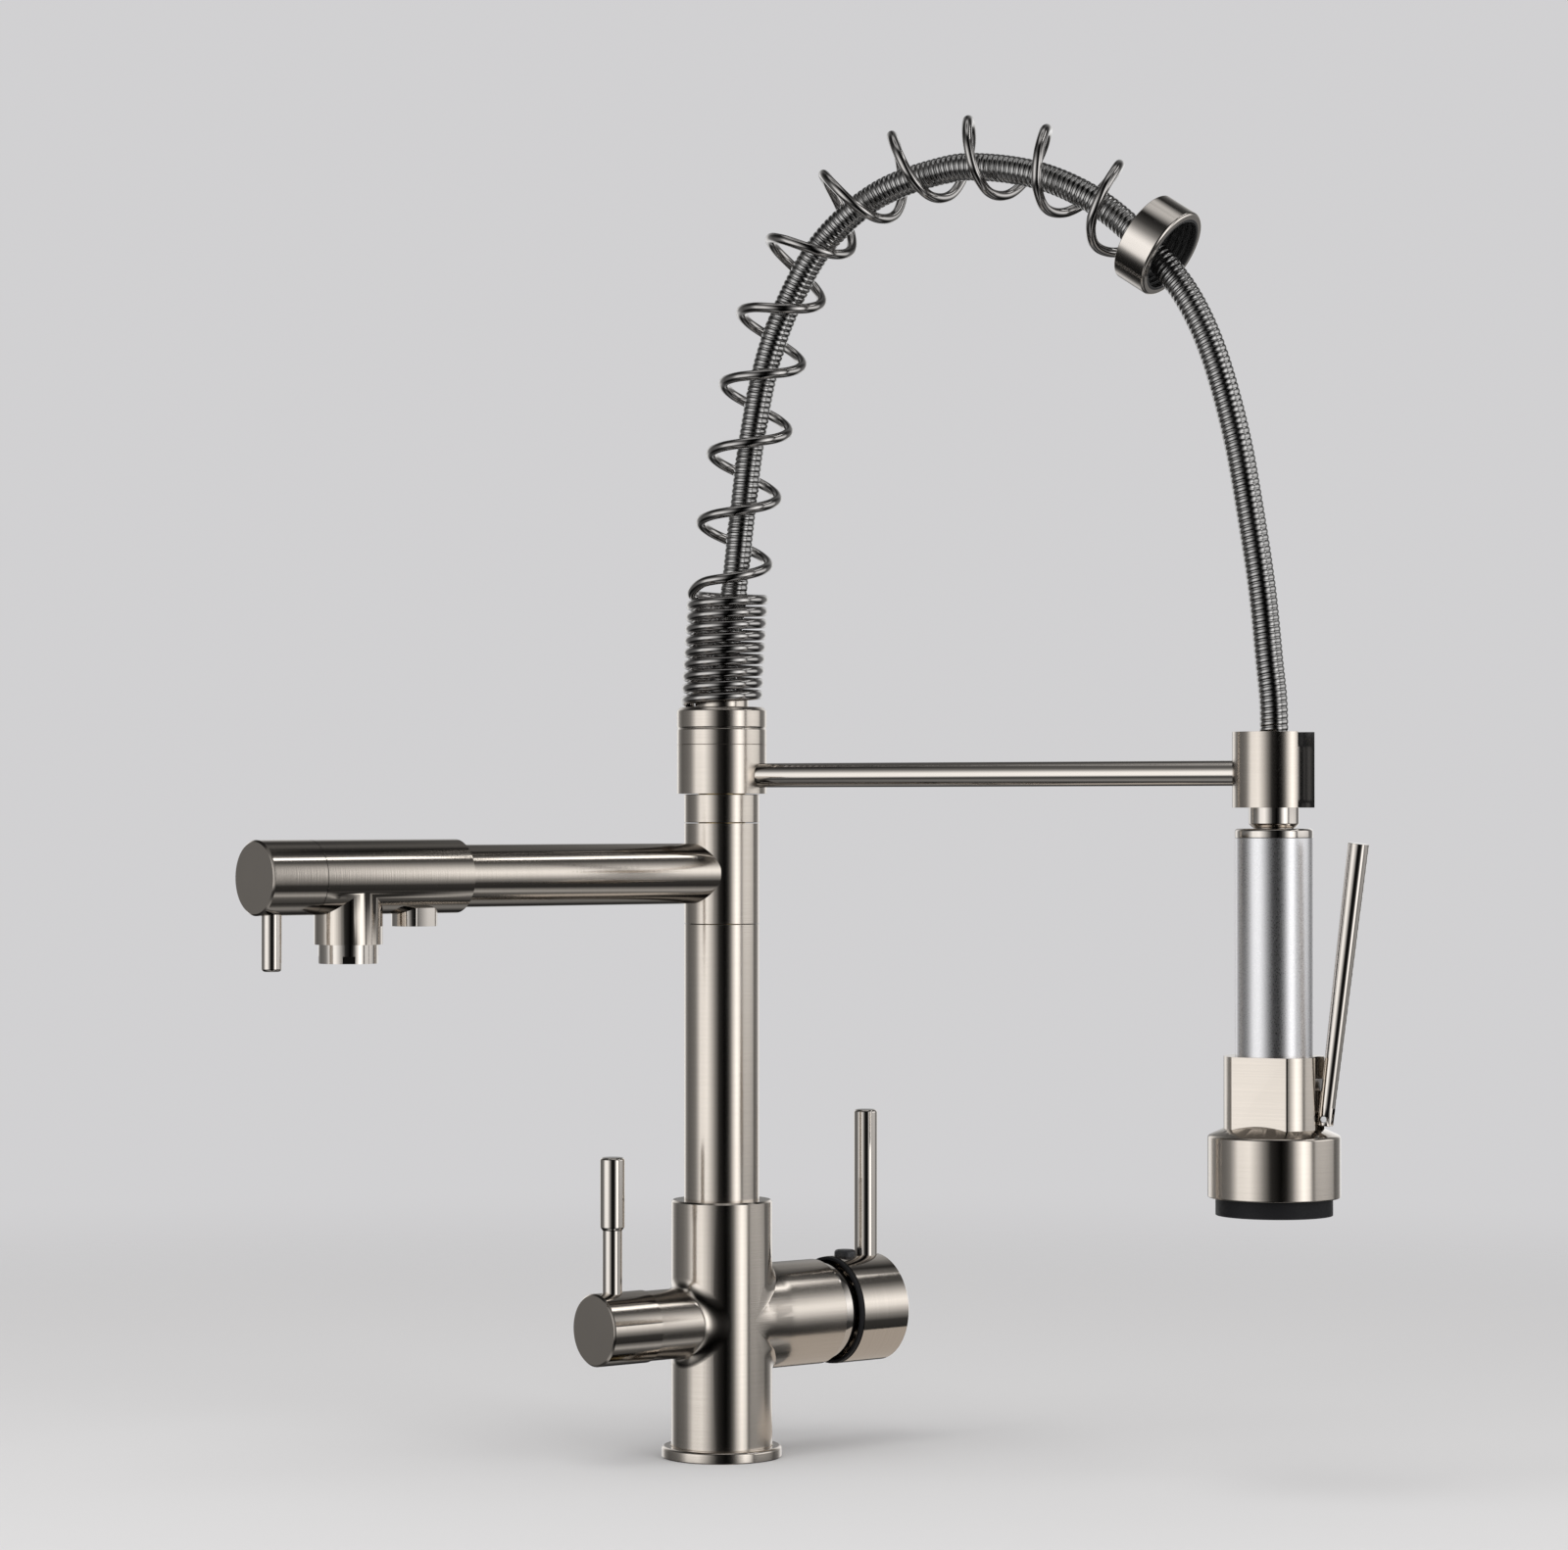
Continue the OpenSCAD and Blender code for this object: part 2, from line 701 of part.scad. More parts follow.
module filter_lever() {
    taper = (filter_grip_d - filter_stem_d) / 2;
    foot = knob_d / 2 - knob_wall;
    nickel() translate([-filter_lever_x, 0, valve_z]) rotate_extrude() polygon([
        [0, foot], [filter_stem_d / 2, foot], [filter_stem_d / 2, filter_step_h],
        [filter_grip_d / 2, filter_step_h + 1.5 * taper], [filter_grip_d / 2, filter_lever_h - bevel],
        [filter_grip_d / 2 - bevel, filter_lever_h], [0, filter_lever_h]
    ]);
}

module mixer_cartridge() {
    plastic() toward_mixer(valve_z) difference() {
        rod(cartridge_bore, cartridge_back, housing_l - nut_l);
        rod(rotor_d + 2 * run_fit, ball_x - rotor_back - turn_gap, housing_l);
        rod(gallery_d, cartridge_back - cut, housing_l);
    }
}

module cartridge_nut() {
    brass() toward_mixer(valve_z) pipe(cartridge_bore, rotor_d + 2 * turn_gap, housing_l - nut_l, housing_l);
}

module mixer_trim() {
    nickel() toward_mixer(valve_z) difference() {
        intersection() {
            translate([0, 0, ball_x]) sphere(r = trim_r);
            rod(housing_d, housing_l, trim_end);
        }
        translate([0, 0, ball_x]) sphere(r = trim_r - trim_wall);
    }
}

module cartridge_rotor() {
    front = ball_x + ball_r / 2.5;
    plastic() toward_mixer(valve_z) difference() {
        rod(rotor_d, ball_x - rotor_back, front);
        translate([0, 0, ball_x]) sphere(r = ball_r + run_fit);
    }
}

module cartridge_spindle() {
    steel() toward_mixer(valve_z) union() {
        translate([0, 0, ball_x]) sphere(r = ball_r);
        rod(stem_d, ball_x, stem_end);
    }
}

module mixer_cap() {
    cap_bevel = 1.6;
    nickel() difference() {
        toward_mixer(valve_z) union() {
            cup(mixer_cap_d, cap_wall, cap_face_t, cap_start, cap_end, cap_bevel);
            rod(cap_boss_d, cap_boss_start, cap_end - cap_face_t + seat_fit);
        }
        toward_mixer(valve_z) rod(stem_d + 2 * seat_fit, cap_start, stem_end);
        translate([mixer_lever_x, 0, 0])
            rod(mixer_lever_d + 2 * seat_fit, valve_z + mixer_lever_foot, valve_z + mixer_cap_d);
        translate([screw_cover_x, 0, 0])
            rod(screw_cover_d + 2 * seat_fit, screw_cover_z - screw_cover_seat, valve_z + mixer_cap_d);
    }
}

module cap_seal() {
    black() toward_mixer(valve_z)
        pipe(mixer_cap_d - 2 * cap_seal_inset, mixer_cap_d - 2 * cap_wall,
             cap_start - cap_seal_t, cap_start);
}

module mixer_lever() {
    nickel() translate([mixer_lever_x, 0, valve_z])
        bevelled_rod(mixer_lever_d, mixer_lever_foot, mixer_lever_h);
}

module screw_cover() {
    black() translate([screw_cover_x, 0, screw_cover_z])
        bevelled_rod(screw_cover_d, -screw_cover_seat, screw_cover_h);
}

module spout_hub() {
    nickel() difference() {
        union() {
            pipe(column_d, riser_d + 2 * run_fit, hub_bottom, hub_top);
            toward_filter(spout_z)
                rod(spigot_d - 2 * seat_fit, riser_d / 2 + spigot_start, column_d / 2 + spigot_l);
        }
        toward_filter(spout_z) rod(filter_tube_d + 2 * seat_fit, riser_d / 2, column_d / 2 + spigot_l + cut);
        rod(riser_d + 2 * run_fit, hub_bottom - cut, hub_top + cut);
    }
}

module spout_tube() {
    nickel() difference() {
        toward_filter(spout_z) pipe(spout_d, spigot_d, riser_d / 2, sleeve_start + tube_entry);
        rod(column_d + 2 * seat_fit, hub_bottom - cut, hub_top + cut);
    }
}

module spout_sleeve() {
    nickel() difference() {
        union() {
            toward_filter(spout_z) rod(sleeve_d, sleeve_start, sleeve_end);
            translate([-main_outlet_x, 0, 0]) rod(main_boss_d, spout_z - main_boss_drop, spout_z);
        }
        toward_filter(spout_z) {
            rod(spout_d + 2 * seat_fit, sleeve_start - cut, sleeve_start + tube_entry + seat_fit);
            rod(filter_tube_d + 2 * seat_fit, sleeve_start, inner_wall_x + inner_wall_t + cut);
            rod(sleeve_bore, inner_wall_x + inner_wall_t, sleeve_end - sleeve_end_wall);
            rod(selector_spindle_d + 2 * run_fit, sleeve_end - sleeve_end_wall - cut, sleeve_end + cut);
        }
        translate([-main_outlet_x, 0, 0]) rod(boss_bore_d, spout_z - main_boss_drop - cut, spout_z);
        translate([-filter_outlet_x, 0, 0]) rod(filter_hole_d, spout_z - sleeve_d, spout_z);
    }
}

module filter_water_tube() {
    bore = filter_tube_d - 2 * filter_tube_wall;
    plastic() toward_filter(spout_z)
        pipe(filter_tube_d, bore, riser_d / 2 + filter_tube_start, inner_wall_x + inner_wall_t);
}

module main_aerator() {
    top = spout_z - main_boss_drop;
    bottom = top - aerator_h;
    bore = aerator_d - 2 * aerator_wall;
    nickel() translate([-main_outlet_x, 0, 0]) difference() {
        union() {
            rod(aerator_d, bottom, top);
            rod(boss_bore_d - 2 * seat_fit, top - cut, top + aerator_collar);
        }
        rod(bore, bottom - cut, top + aerator_collar + cut);
        for (a = [0:90:270]) rotate([0, 0, a + notch_turn]) translate([aerator_d / 2, 0, bottom])
            cube([2 * notch_depth, notch_w, 2 * notch_h], center = true);
    }
}

module main_screen() {
    bottom = spout_z - main_boss_drop - aerator_h + screen_inset;
    bore = aerator_d - 2 * aerator_wall;
    steel() translate([-main_outlet_x, 0, 0]) difference() {
        rod(bore - 2 * seat_fit, bottom, bottom + screen_t);
        for (ring = screen_rings) for (k = [0:ring[1] - 1])
            rotate([0, 0, 360 * k / ring[1]]) translate([ring[0], 0, 0])
                rod(screen_hole_d, bottom - cut, bottom + screen_t + cut);
    }
}

module filter_nozzle() {
    bottom = spout_z - filter_nozzle_drop;
    seat = spout_z - sleeve_d / 2;
    nickel() difference() {
        translate([-filter_outlet_x, 0, 0]) difference() {
            union() {
                intersection() {
                    rod(filter_nozzle_d, bottom, spout_z);
                    translate([0, 0, bottom])
                        cube([filter_nozzle_d, filter_nozzle_af, sleeve_d], center = true);
                }
                rod(filter_hole_d - 2 * seat_fit, bottom, seat + filter_collar);
            }
            rod(filter_bore, bottom - cut, spout_z);
        }
        difference() {
            toward_filter(spout_z) rod(sleeve_d + 2 * seat_fit, sleeve_start, sleeve_end);
            translate([-filter_outlet_x, 0, 0])
                rod(filter_hole_d - 2 * seat_fit, bottom, seat + filter_collar);
        }
    }
}

module selector_spindle() {
    brass() toward_filter(spout_z)
        rod(selector_spindle_d, sleeve_end - selector_spindle_l, spout_end - selector_cap_wall);
}

module selector_cap() {
    nickel() difference() {
        toward_filter(spout_z) union() {
            cup(sleeve_d, selector_cap_wall, selector_cap_wall, cap_start_x, spout_end);
            rod(selector_boss_d, cap_start_x, spout_end - selector_cap_wall + seat_fit);
        }
        toward_filter(spout_z)
            rod(selector_spindle_d + 2 * seat_fit, cap_start_x - cut, spout_end - selector_cap_wall);
        translate([-selector_x, 0, 0])
            rod(selector_d + 2 * seat_fit, spout_z - sleeve_d, spout_z - selector_boss_d / 2);
    }
}

module selector_pin() {
    nickel() translate([-selector_x, 0, spout_z]) mirror([0, 0, 1])
        bevelled_rod(selector_d, selector_boss_d / 2 + seat_fit, selector_drop);
}

module arm_collar() {
    nickel() on_arm() difference() {
        pipe(collar_d, riser_d + 2 * run_fit, collar_bottom, collar_top);
        toward_mixer(rod_z) rod(rod_d + 2 * seat_fit, collar_d / 2 - rod_socket, collar_d);
    }
}

module spring_seat() {
    r = collar_d / 2;
    groove_z = seat_bottom + seat_groove_z;
    nickel() on_arm() difference() {
        rotate_extrude() polygon([
            [0, seat_bottom], [r, seat_bottom], [r, groove_z - seat_groove], [r - seat_groove, groove_z],
            [r, groove_z + seat_groove], [r, seat_top - seat_bevel],
            [r - seat_bevel, seat_top], [nose_d / 2, seat_top],
            [nose_d / 2, seat_top + nose_h], [0, seat_top + nose_h]
        ]);
        rod(riser_d + 2 * run_fit, seat_bottom - cut, riser_top + turn_gap);
        rod(hose_d + 2 * seat_fit, seat_bottom, seat_top);
        rod(hose_d + 2 * nose_play, seat_top - cut, seat_top + nose_h + cut);
        translate([tail_point[0], tail_point[1], 0])
            rod(wire_d + 2 * seat_fit, tail_bottom - seat_fit, seat_top + cut);
    }
}

module arm_rod() {
    start = collar_d / 2 - rod_socket + seat_fit;
    end = arm_reach - holder_d / 2 + holder_socket - seat_fit;
    steel() on_arm() toward_mixer(rod_z) rod(rod_d, start, end);
}

module spray_holder() {
    nickel() difference() {
        at_spray() difference() {
            pipe(holder_d, holder_bore, holder_z, holder_z + holder_h);
            translate([0, -holder_slot / 2, holder_z - cut])
                cube([holder_d, holder_slot, holder_h + 2 * cut]);
        }
        on_arm() toward_mixer(rod_z) rod(rod_d + 2 * seat_fit, 0, arm_reach - holder_d / 2 + holder_socket);
    }
}

module arch_spring() {
    color([0.34, 0.33, 0.33]) on_arm() swept_tube(spring_path, wire_d / 2, wire_sides, [1, 0, 0]);
}

module spring_ring() {
    nickel() on_arm() translate(ring_centre) rotate([0, 90 + ring_tilt, 0]) difference() {
        translate([0, 0, -ring_l / 2]) bevelled_rod(ring_d, 0, ring_l);
        rod(ring_bore, ring_back_wall - ring_l / 2, ring_l);
        rod(ring_back_bore, -ring_l, ring_l);
        for (k = [0:ring_grooves - 1])
            translate([0, 0, ring_groove_start + ring_groove_pitch * k - ring_l / 2])
                cylinder(d = ring_bore + 2 * ring_groove, h = ring_groove_w);
    }
}

module spray_hose() {
    color([0.45, 0.45, 0.46]) on_arm() swept_tube(hose_points, hose_d / 2, hose_sides, [1, 0, 0]);
}

module hose_ferrule() {
    r = ferrule_d / 2;
    bead = 1.6;
    flange_top = grip_top - turn_gap;
    steel() at_spray() difference() {
        rotate_extrude() polygon([
            [0, flange_top - spigot_flange_t], [spigot_flange_d / 2, flange_top - spigot_flange_t],
            [spigot_flange_d / 2, flange_top], [spigot_ring_d / 2, flange_top],
            [spigot_ring_d / 2, neck_bottom], [neck_waist_d / 2, neck_bottom],
            [neck_d / 2, neck_bottom + bead], [neck_d / 2, holder_z + bead],
            [r, holder_z + 2 * bead], [r, ferrule_top - bevel], [r - bevel, ferrule_top], [0, ferrule_top]
        ]);
        rod(hose_d + 2 * hose_gap, flange_top - spigot_flange_t - cut, ferrule_top + cut);
    }
}

module grip_ring() {
    steel() at_spray() difference() {
        bevelled_rod(grip_d, grip_top, trim_ring_top);
        rod(spigot_ring_d + 2 * run_fit, grip_top - cut, trim_ring_top + cut);
    }
}

module grip_sleeve() {
    color([0.74, 0.75, 0.78]) at_spray() pipe(grip_d, grip_d - 2 * grip_wall, grip_bottom, grip_top);
}

module grip_core() {
    socket = spigot_flange_t + 2 * turn_gap;
    plastic() at_spray() difference() {
        rod(grip_d - 2 * grip_wall - 2 * seat_fit, grip_bottom, grip_top);
        rod(spigot_flange_d + 2 * turn_gap, grip_top - socket, grip_top + cut);
        rod(hose_d + 2 * hose_gap, hose_end_z - hose_gap, grip_top);
        rod(block_bore, grip_bottom - cut, grip_top);
    }
}

// The bell's conical roof, as a solid of revolution down to a level
module bell_roof(from) {
    rotate_extrude() polygon([
        [0, from], [bell_d / 2, from], [bell_d / 2, bell_shoulder - bevel],
        [bell_d / 2 - bevel, bell_shoulder], [block_af / 2, bell_shoulder + bell_roof_rise],
        [0, bell_shoulder + bell_roof_rise]
    ]);
}

// The tongue that carries the spray lever's pin
module lever_tongue() {
    translate([pivot_x, 0, pivot_z]) rotate([90, 0, 0]) cylinder(d = tongue_h, h = tongue_t, center = true);
    translate([groove_x - cut, -tongue_t / 2, pivot_z - tongue_h / 2])
        cube([pivot_x - groove_x + cut, tongue_t, tongue_h]);
}

module spray_block() {
    nickel() at_spray() difference() {
        union() {
            difference() {
                intersection() {
                    rod(block_d, bell_bottom, grip_bottom);
                    translate([0, 0, grip_bottom]) cube([2 * block_d, block_af, 4 * block_h], center = true);
                }
                bell_roof(bell_bottom - cut);
                translate([groove_x, -groove_w / 2, bell_bottom]) cube([block_d, groove_w, 4 * block_h]);
            }
            rod(block_spigot_d, bell_shoulder - block_spigot_l + bell_roof_rise, grip_bottom);
            lever_tongue();
        }
        rod(block_bore, bell_bottom, grip_bottom + cut);
        toward_mixer(plunger_z) rod(plunger_d + 2 * run_fit, 0, block_af);
        translate([pivot_x, 0, pivot_z]) rotate([90, 0, 0])
            cylinder(d = pin_d + 2 * seat_fit, h = pin_l, center = true);
    }
}

module spray_bell() {
    nickel() at_spray() difference() {
        bell_roof(bell_bottom);
        rod(bell_bore_d, bell_bottom - cut, bell_shoulder + bell_roof_rise - bell_roof_t);
        rod(block_spigot_d + 2 * seat_fit, bell_bottom, bell_shoulder + bell_roof_rise + cut);
    }
}

module flow_disc() {
    top = bell_bottom + face_depth + disc_t;
    plastic() at_spray() difference() {
        rod(face_d, bell_bottom + face_depth, top);
        for (k = [0:11]) rotate([0, 0, 30 * k]) translate([face_d / 3, 0, 0])
            rod(nub_d, bell_bottom, top + cut);
    }
}

module spray_face() {
    field = face_bottom + nub_h;
    black() at_spray() union() {
        difference() {
            rod(face_d, face_bottom, bell_bottom + face_depth);
            rod(face_d - 2 * face_rim, face_bottom - cut, field);
            rod(face_d - 2 * face_wall, field + face_wall, bell_bottom + face_depth + cut);
        }
        for (ring = nub_rings) for (k = [0:ring[1] - 1]) rotate([0, 0, 360 * k / ring[1]])
            translate([ring[0], 0, 0]) rod(nub_d, face_bottom, field + nub_h);
    }
}

module lever_pin() {
    steel() at_spray() translate([pivot_x, 0, pivot_z]) rotate([90, 0, 0])
        cylinder(d = pin_d, h = pin_l, center = true);
}

// The lever's foot is forked over the tongue
module spray_lever() {
    nickel() at_spray() translate([pivot_x, 0, pivot_z]) difference() {
        rotate([0, spray_lever_lean, 0]) difference() {
            translate([0, 0, -lever_foot_l])
                cylinder(d1 = lever_foot_d, d2 = spray_lever_d, h = lever_foot_l + spray_lever_l);
            translate([-lever_foot_d, -tongue_t / 2 - turn_gap, -2 * lever_foot_l])
                cube([2 * lever_foot_d, tongue_t + 2 * turn_gap, 2 * lever_foot_l + lever_fork_h]);
        }
        rotate([90, 0, 0]) cylinder(d = pin_d + 2 * run_fit, h = 2 * pin_l, center = true);
    }
}

module valve_plunger() {
    steel() at_spray() toward_mixer(plunger_z) rod(plunger_d, plunger_start, plunger_end);
}

deck_flange();
deck_seal();
mounting_shank();
clamp_seal();
clamp_washer();
lock_nut();
tap_body();
column_tube();
column_bush();
riser_tube();
hub_seals();
upper_ring();
filter_valve();
filter_spindle();
filter_knob();
filter_lever();
mixer_cartridge();
cartridge_nut();
mixer_trim();
cartridge_rotor();
cartridge_spindle();
mixer_cap();
cap_seal();
mixer_lever();
screw_cover();
spout_hub();
spout_tube();
spout_sleeve();
filter_water_tube();
main_aerator();
main_screen();
filter_nozzle();
selector_spindle();
selector_cap();
selector_pin();
arm_collar();
spring_seat();
arm_rod();
spray_holder();
arch_spring();
spring_ring();
spray_hose();
hose_ferrule();
grip_ring();
grip_sleeve();
grip_core();
spray_block();
spray_bell();
flow_disc();
spray_face();
lever_pin();
spray_lever();
valve_plunger();
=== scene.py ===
"""Looks of a drinking water filter tap: brushed nickel, a spring arch, a ribbed hose and a spray head."""

import json
import math

import bpy
import numpy as np
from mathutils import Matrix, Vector


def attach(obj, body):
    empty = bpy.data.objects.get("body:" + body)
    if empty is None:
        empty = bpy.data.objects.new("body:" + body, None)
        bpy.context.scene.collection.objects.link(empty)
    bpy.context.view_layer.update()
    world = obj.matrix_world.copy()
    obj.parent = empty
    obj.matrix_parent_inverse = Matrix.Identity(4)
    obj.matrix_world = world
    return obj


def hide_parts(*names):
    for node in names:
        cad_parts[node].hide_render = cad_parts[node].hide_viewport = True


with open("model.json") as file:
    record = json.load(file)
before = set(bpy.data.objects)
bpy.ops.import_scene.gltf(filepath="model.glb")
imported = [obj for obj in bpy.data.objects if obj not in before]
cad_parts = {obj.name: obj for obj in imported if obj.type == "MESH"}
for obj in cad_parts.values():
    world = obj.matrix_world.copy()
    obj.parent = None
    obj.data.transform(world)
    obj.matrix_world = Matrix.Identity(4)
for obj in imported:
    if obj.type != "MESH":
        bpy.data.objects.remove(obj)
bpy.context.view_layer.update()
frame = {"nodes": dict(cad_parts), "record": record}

# The photograph's frame, in pixels, and the camera that took it
PHOTO_WIDTH = 1600
PHOTO_HEIGHT = 1582
FOCAL_PIXELS = 4500
HORIZON_PIXEL = 830
SENSOR_WIDTH = 36
CAMERA_PLACE = Vector((-1.1335, -1.4938, 0.273))
CAMERA_AZIMUTH = math.radians(-38)

# Sizes in metres, angles and counts that the looks share with the model
ARM_TURN = math.radians(-66)
ARM_REACH = 0.251
SEAT_TOP = 0.318
HOSE_DIAMETER = 0.0115
HOSE_END = 0.2384
WIRE_DIAMETER = 0.0042
SPRING_RADIUS = 0.0154
CLOSE_TURNS = 9
CLOSE_PITCH = 0.00504
CLOSE_START = 0.3209
STACK_LEAN = 0.003
OPEN_STEPS = 85
STEPS_PER_TURN = 8
SPRING_PHASE = math.radians(-28)
PITCH_GROWTH = 0.06
TAIL_TOP = 0.3195
END_SHARE = 0.6
RING_TILT = math.radians(33)
RING_BORE_RADIUS = 0.0162
HOLDER_SLOT_REACH = 0.00905
BODY_RADIUS = 0.0215
VALVE_HEIGHT = 0.058

# Routes in the arm's plane: distance from the column's axis, height above the spring's seat
HOSE_ROUTE = [
    (0, -0.009), (0, 0.004), (0.002, 0.022), (0.006, 0.05), (0.010, 0.082), (0.015, 0.116),
    (0.023, 0.149), (0.036, 0.177), (0.052, 0.198), (0.076, 0.214), (0.105, 0.2215), (0.124, 0.2215),
    (0.148, 0.2165), (0.170, 0.2065), (0.188, 0.193), (0.204, 0.1765), (0.216, 0.160), (0.226, 0.138),
    (0.235, 0.107), (0.241, 0.076), (0.246, 0.045), (0.249, 0.017), (ARM_REACH, -0.003),
    (ARM_REACH, -0.030), (ARM_REACH, -0.055), (ARM_REACH, HOSE_END - SEAT_TOP),
]
SPRING_ROUTE = [
    (0.008, 0.082), (0.013, 0.110), (0.019, 0.138), (0.027, 0.165), (0.039, 0.190), (0.057, 0.209),
    (0.086, 0.2225), (0.118, 0.226), (0.148, 0.2205), (0.173, 0.2075), (0.195, 0.1885),
]


def on_arm(along, across, height):
    """A point in the row frame from its place in the arm's own frame."""
    cosine, sine = math.cos(ARM_TURN), math.sin(ARM_TURN)
    return np.array((along * cosine - across * sine, along * sine + across * cosine, height))


def unit(vector):
    """A vector of length 1 in the same direction."""
    return vector / np.linalg.norm(vector)


ARM_ACROSS = on_arm(0, 1, 0)
ARM_OUTWARD = on_arm(1, 0, 0)
RING_AXIS = on_arm(math.cos(RING_TILT), 0, -math.sin(RING_TILT))
RING_ALONG, RING_RISE = SPRING_ROUTE[-1]
RING_PLACE = on_arm(RING_ALONG, 0, SEAT_TOP + RING_RISE)


# Materials

# Most of a noise's values lie between these two
NOISE_LOW = 0.25
NOISE_HIGH = 0.75
# Noise across and along the marks of a brush, per metre
BRUSH_ACROSS = 2600
BRUSH_ALONG = 30
BUMP_HEIGHT = 0.0002


def new_material(name, colour, metallic, roughness):
    """A material with one principled shader: the material, its tree and the shader."""
    material = bpy.data.materials.new(name)
    material.use_nodes = True
    material.diffuse_color = (*colour, 1)
    tree = material.node_tree
    shader = tree.nodes["Principled BSDF"]
    shader.inputs["Base Color"].default_value = (*colour, 1)
    shader.inputs["Metallic"].default_value = metallic
    shader.inputs["Roughness"].default_value = roughness
    return material, tree, shader


def object_place(tree):
    """Where a surface lies in the object's own space."""
    return tree.nodes.new("ShaderNodeTexCoord").outputs["Object"]


def streaks(tree, scales, detail):
    """Noise stretched by three scales along the axes."""
    mapping = tree.nodes.new("ShaderNodeMapping")
    mapping.inputs["Scale"].default_value = scales
    noise = tree.nodes.new("ShaderNodeTexNoise")
    noise.inputs["Scale"].default_value = 1
    noise.inputs["Detail"].default_value = detail
    tree.links.new(object_place(tree), mapping.inputs["Vector"])
    tree.links.new(mapping.outputs["Vector"], noise.inputs["Vector"])
    return noise.outputs["Fac"]


def specks(tree, scale, detail):
    """Noise with one scale in all directions."""
    return streaks(tree, (scale, scale, scale), detail)


def shade(colour, factor, lift=0):
    """A colour made darker or lighter."""
    return [min(1, factor * part + lift) for part in colour]


def vary_colour(tree, shader, noise, colour, darkest, lightest, lift=0):
    """Lets a noise move the colour between a darker and a lighter one."""
    mix = tree.nodes.new("ShaderNodeMix")
    mix.data_type = "RGBA"
    mix.inputs["A"].default_value = (*shade(colour, darkest), 1)
    mix.inputs["B"].default_value = (*shade(colour, lightest, lift), 1)
    tree.links.new(noise, mix.inputs["Factor"])
    tree.links.new(mix.outputs["Result"], shader.inputs["Base Color"])


def vary_roughness(tree, shader, noise, lowest, highest):
    """Lets a noise move the roughness over a range."""
    ranged = tree.nodes.new("ShaderNodeMapRange")
    ranged.inputs["From Min"].default_value = NOISE_LOW
    ranged.inputs["From Max"].default_value = NOISE_HIGH
    ranged.inputs["To Min"].default_value = lowest
    ranged.inputs["To Max"].default_value = highest
    tree.links.new(noise, ranged.inputs["Value"])
    tree.links.new(ranged.outputs["Result"], shader.inputs["Roughness"])


def add_bump(tree, shader, noise, strength):
    """Raises and sinks the surface a little with a noise."""
    bump = tree.nodes.new("ShaderNodeBump")
    bump.inputs["Strength"].default_value = strength
    bump.inputs["Distance"].default_value = BUMP_HEIGHT
    tree.links.new(noise, bump.inputs["Height"])
    tree.links.new(bump.outputs["Normal"], shader.inputs["Normal"])


def brushed_metal(name, colour, roughness, axis):
    """Metal brushed round its turning axis: fine rings, and gloss drawn out along the axis."""
    material, tree, shader = new_material(name, colour, 1, roughness)
    scales = [BRUSH_ALONG, BRUSH_ALONG, BRUSH_ALONG]
    scales["XYZ".index(axis)] = BRUSH_ACROSS
    rings = streaks(tree, scales, detail=3)
    cloudy = specks(tree, scale=18, detail=2)
    vary_colour(tree, shader, rings, colour, darkest=0.93, lightest=1.05)
    vary_roughness(tree, shader, cloudy, lowest=roughness - 0.03, highest=roughness + 0.04)
    add_bump(tree, shader, rings, strength=0.06)
    tangent = tree.nodes.new("ShaderNodeTangent")
    tangent.direction_type = "RADIAL"
    tangent.axis = axis
    tree.links.new(tangent.outputs["Tangent"], shader.inputs["Tangent"])
    shader.inputs["Anisotropic"].default_value = 0.55
    shader.inputs["Anisotropic Rotation"].default_value = 0.25
    return material


def polished_metal(name, colour, roughness):
    """Bright metal with a faint haze."""
    material, tree, shader = new_material(name, colour, 1, roughness)
    haze = specks(tree, scale=60, detail=4)
    vary_colour(tree, shader, haze, colour, darkest=0.95, lightest=1)
    vary_roughness(tree, shader, haze, lowest=roughness * 0.7, highest=roughness * 1.5)
    return material


def satin_metal(name, colour, roughness):
    """Blasted, silky metal with a very fine grain."""
    material, tree, shader = new_material(name, colour, 1, roughness)
    grain = specks(tree, scale=2400, detail=2)
    vary_colour(tree, shader, grain, colour, darkest=0.92, lightest=1)
    vary_roughness(tree, shader, grain, lowest=roughness - 0.06, highest=roughness + 0.06)
    add_bump(tree, shader, grain, strength=0.05)
    return material


def soft_plastic(name, colour, roughness, gloss):
    """Moulded rubber or plastic with a fine grain and a slight cloudiness."""
    material, tree, shader = new_material(name, colour, 0, roughness)
    shader.inputs["Specular IOR Level"].default_value = gloss
    grain = specks(tree, scale=900, detail=3)
    cloudy = specks(tree, scale=40, detail=2)
    vary_colour(tree, shader, cloudy, colour, darkest=1, lightest=1.35, lift=0.004)
    vary_roughness(tree, shader, grain, lowest=roughness - 0.08, highest=roughness + 0.08)
    add_bump(tree, shader, grain, strength=0.15)
    return material


# Painted shade: a dark colour painted into bores and slots, where shade falls

# Near-black of the shade painted into the ring's bore and the holder's slot
PAINTED_SHADE_COLOUR = (0.02, 0.02, 0.02)
MASK_MIDDLE = 0.5


def vector_math(tree, operation, vector, fixed=(0, 0, 0)):
    """A vector operation, with a fixed second vector where it takes one."""
    node = tree.nodes.new("ShaderNodeVectorMath")
    node.operation = operation
    node.inputs[1].default_value = fixed
    tree.links.new(vector, node.inputs[0])
    return node.outputs["Value" if operation in ("LENGTH", "DOT_PRODUCT") else "Vector"]


def number_math(tree, operation, value, fixed=0):
    """A number operation, with a fixed second number where it takes one."""
    node = tree.nodes.new("ShaderNodeMath")
    node.operation = operation
    node.inputs[1].default_value = fixed
    tree.links.new(value, node.inputs[0])
    return node.outputs["Value"]


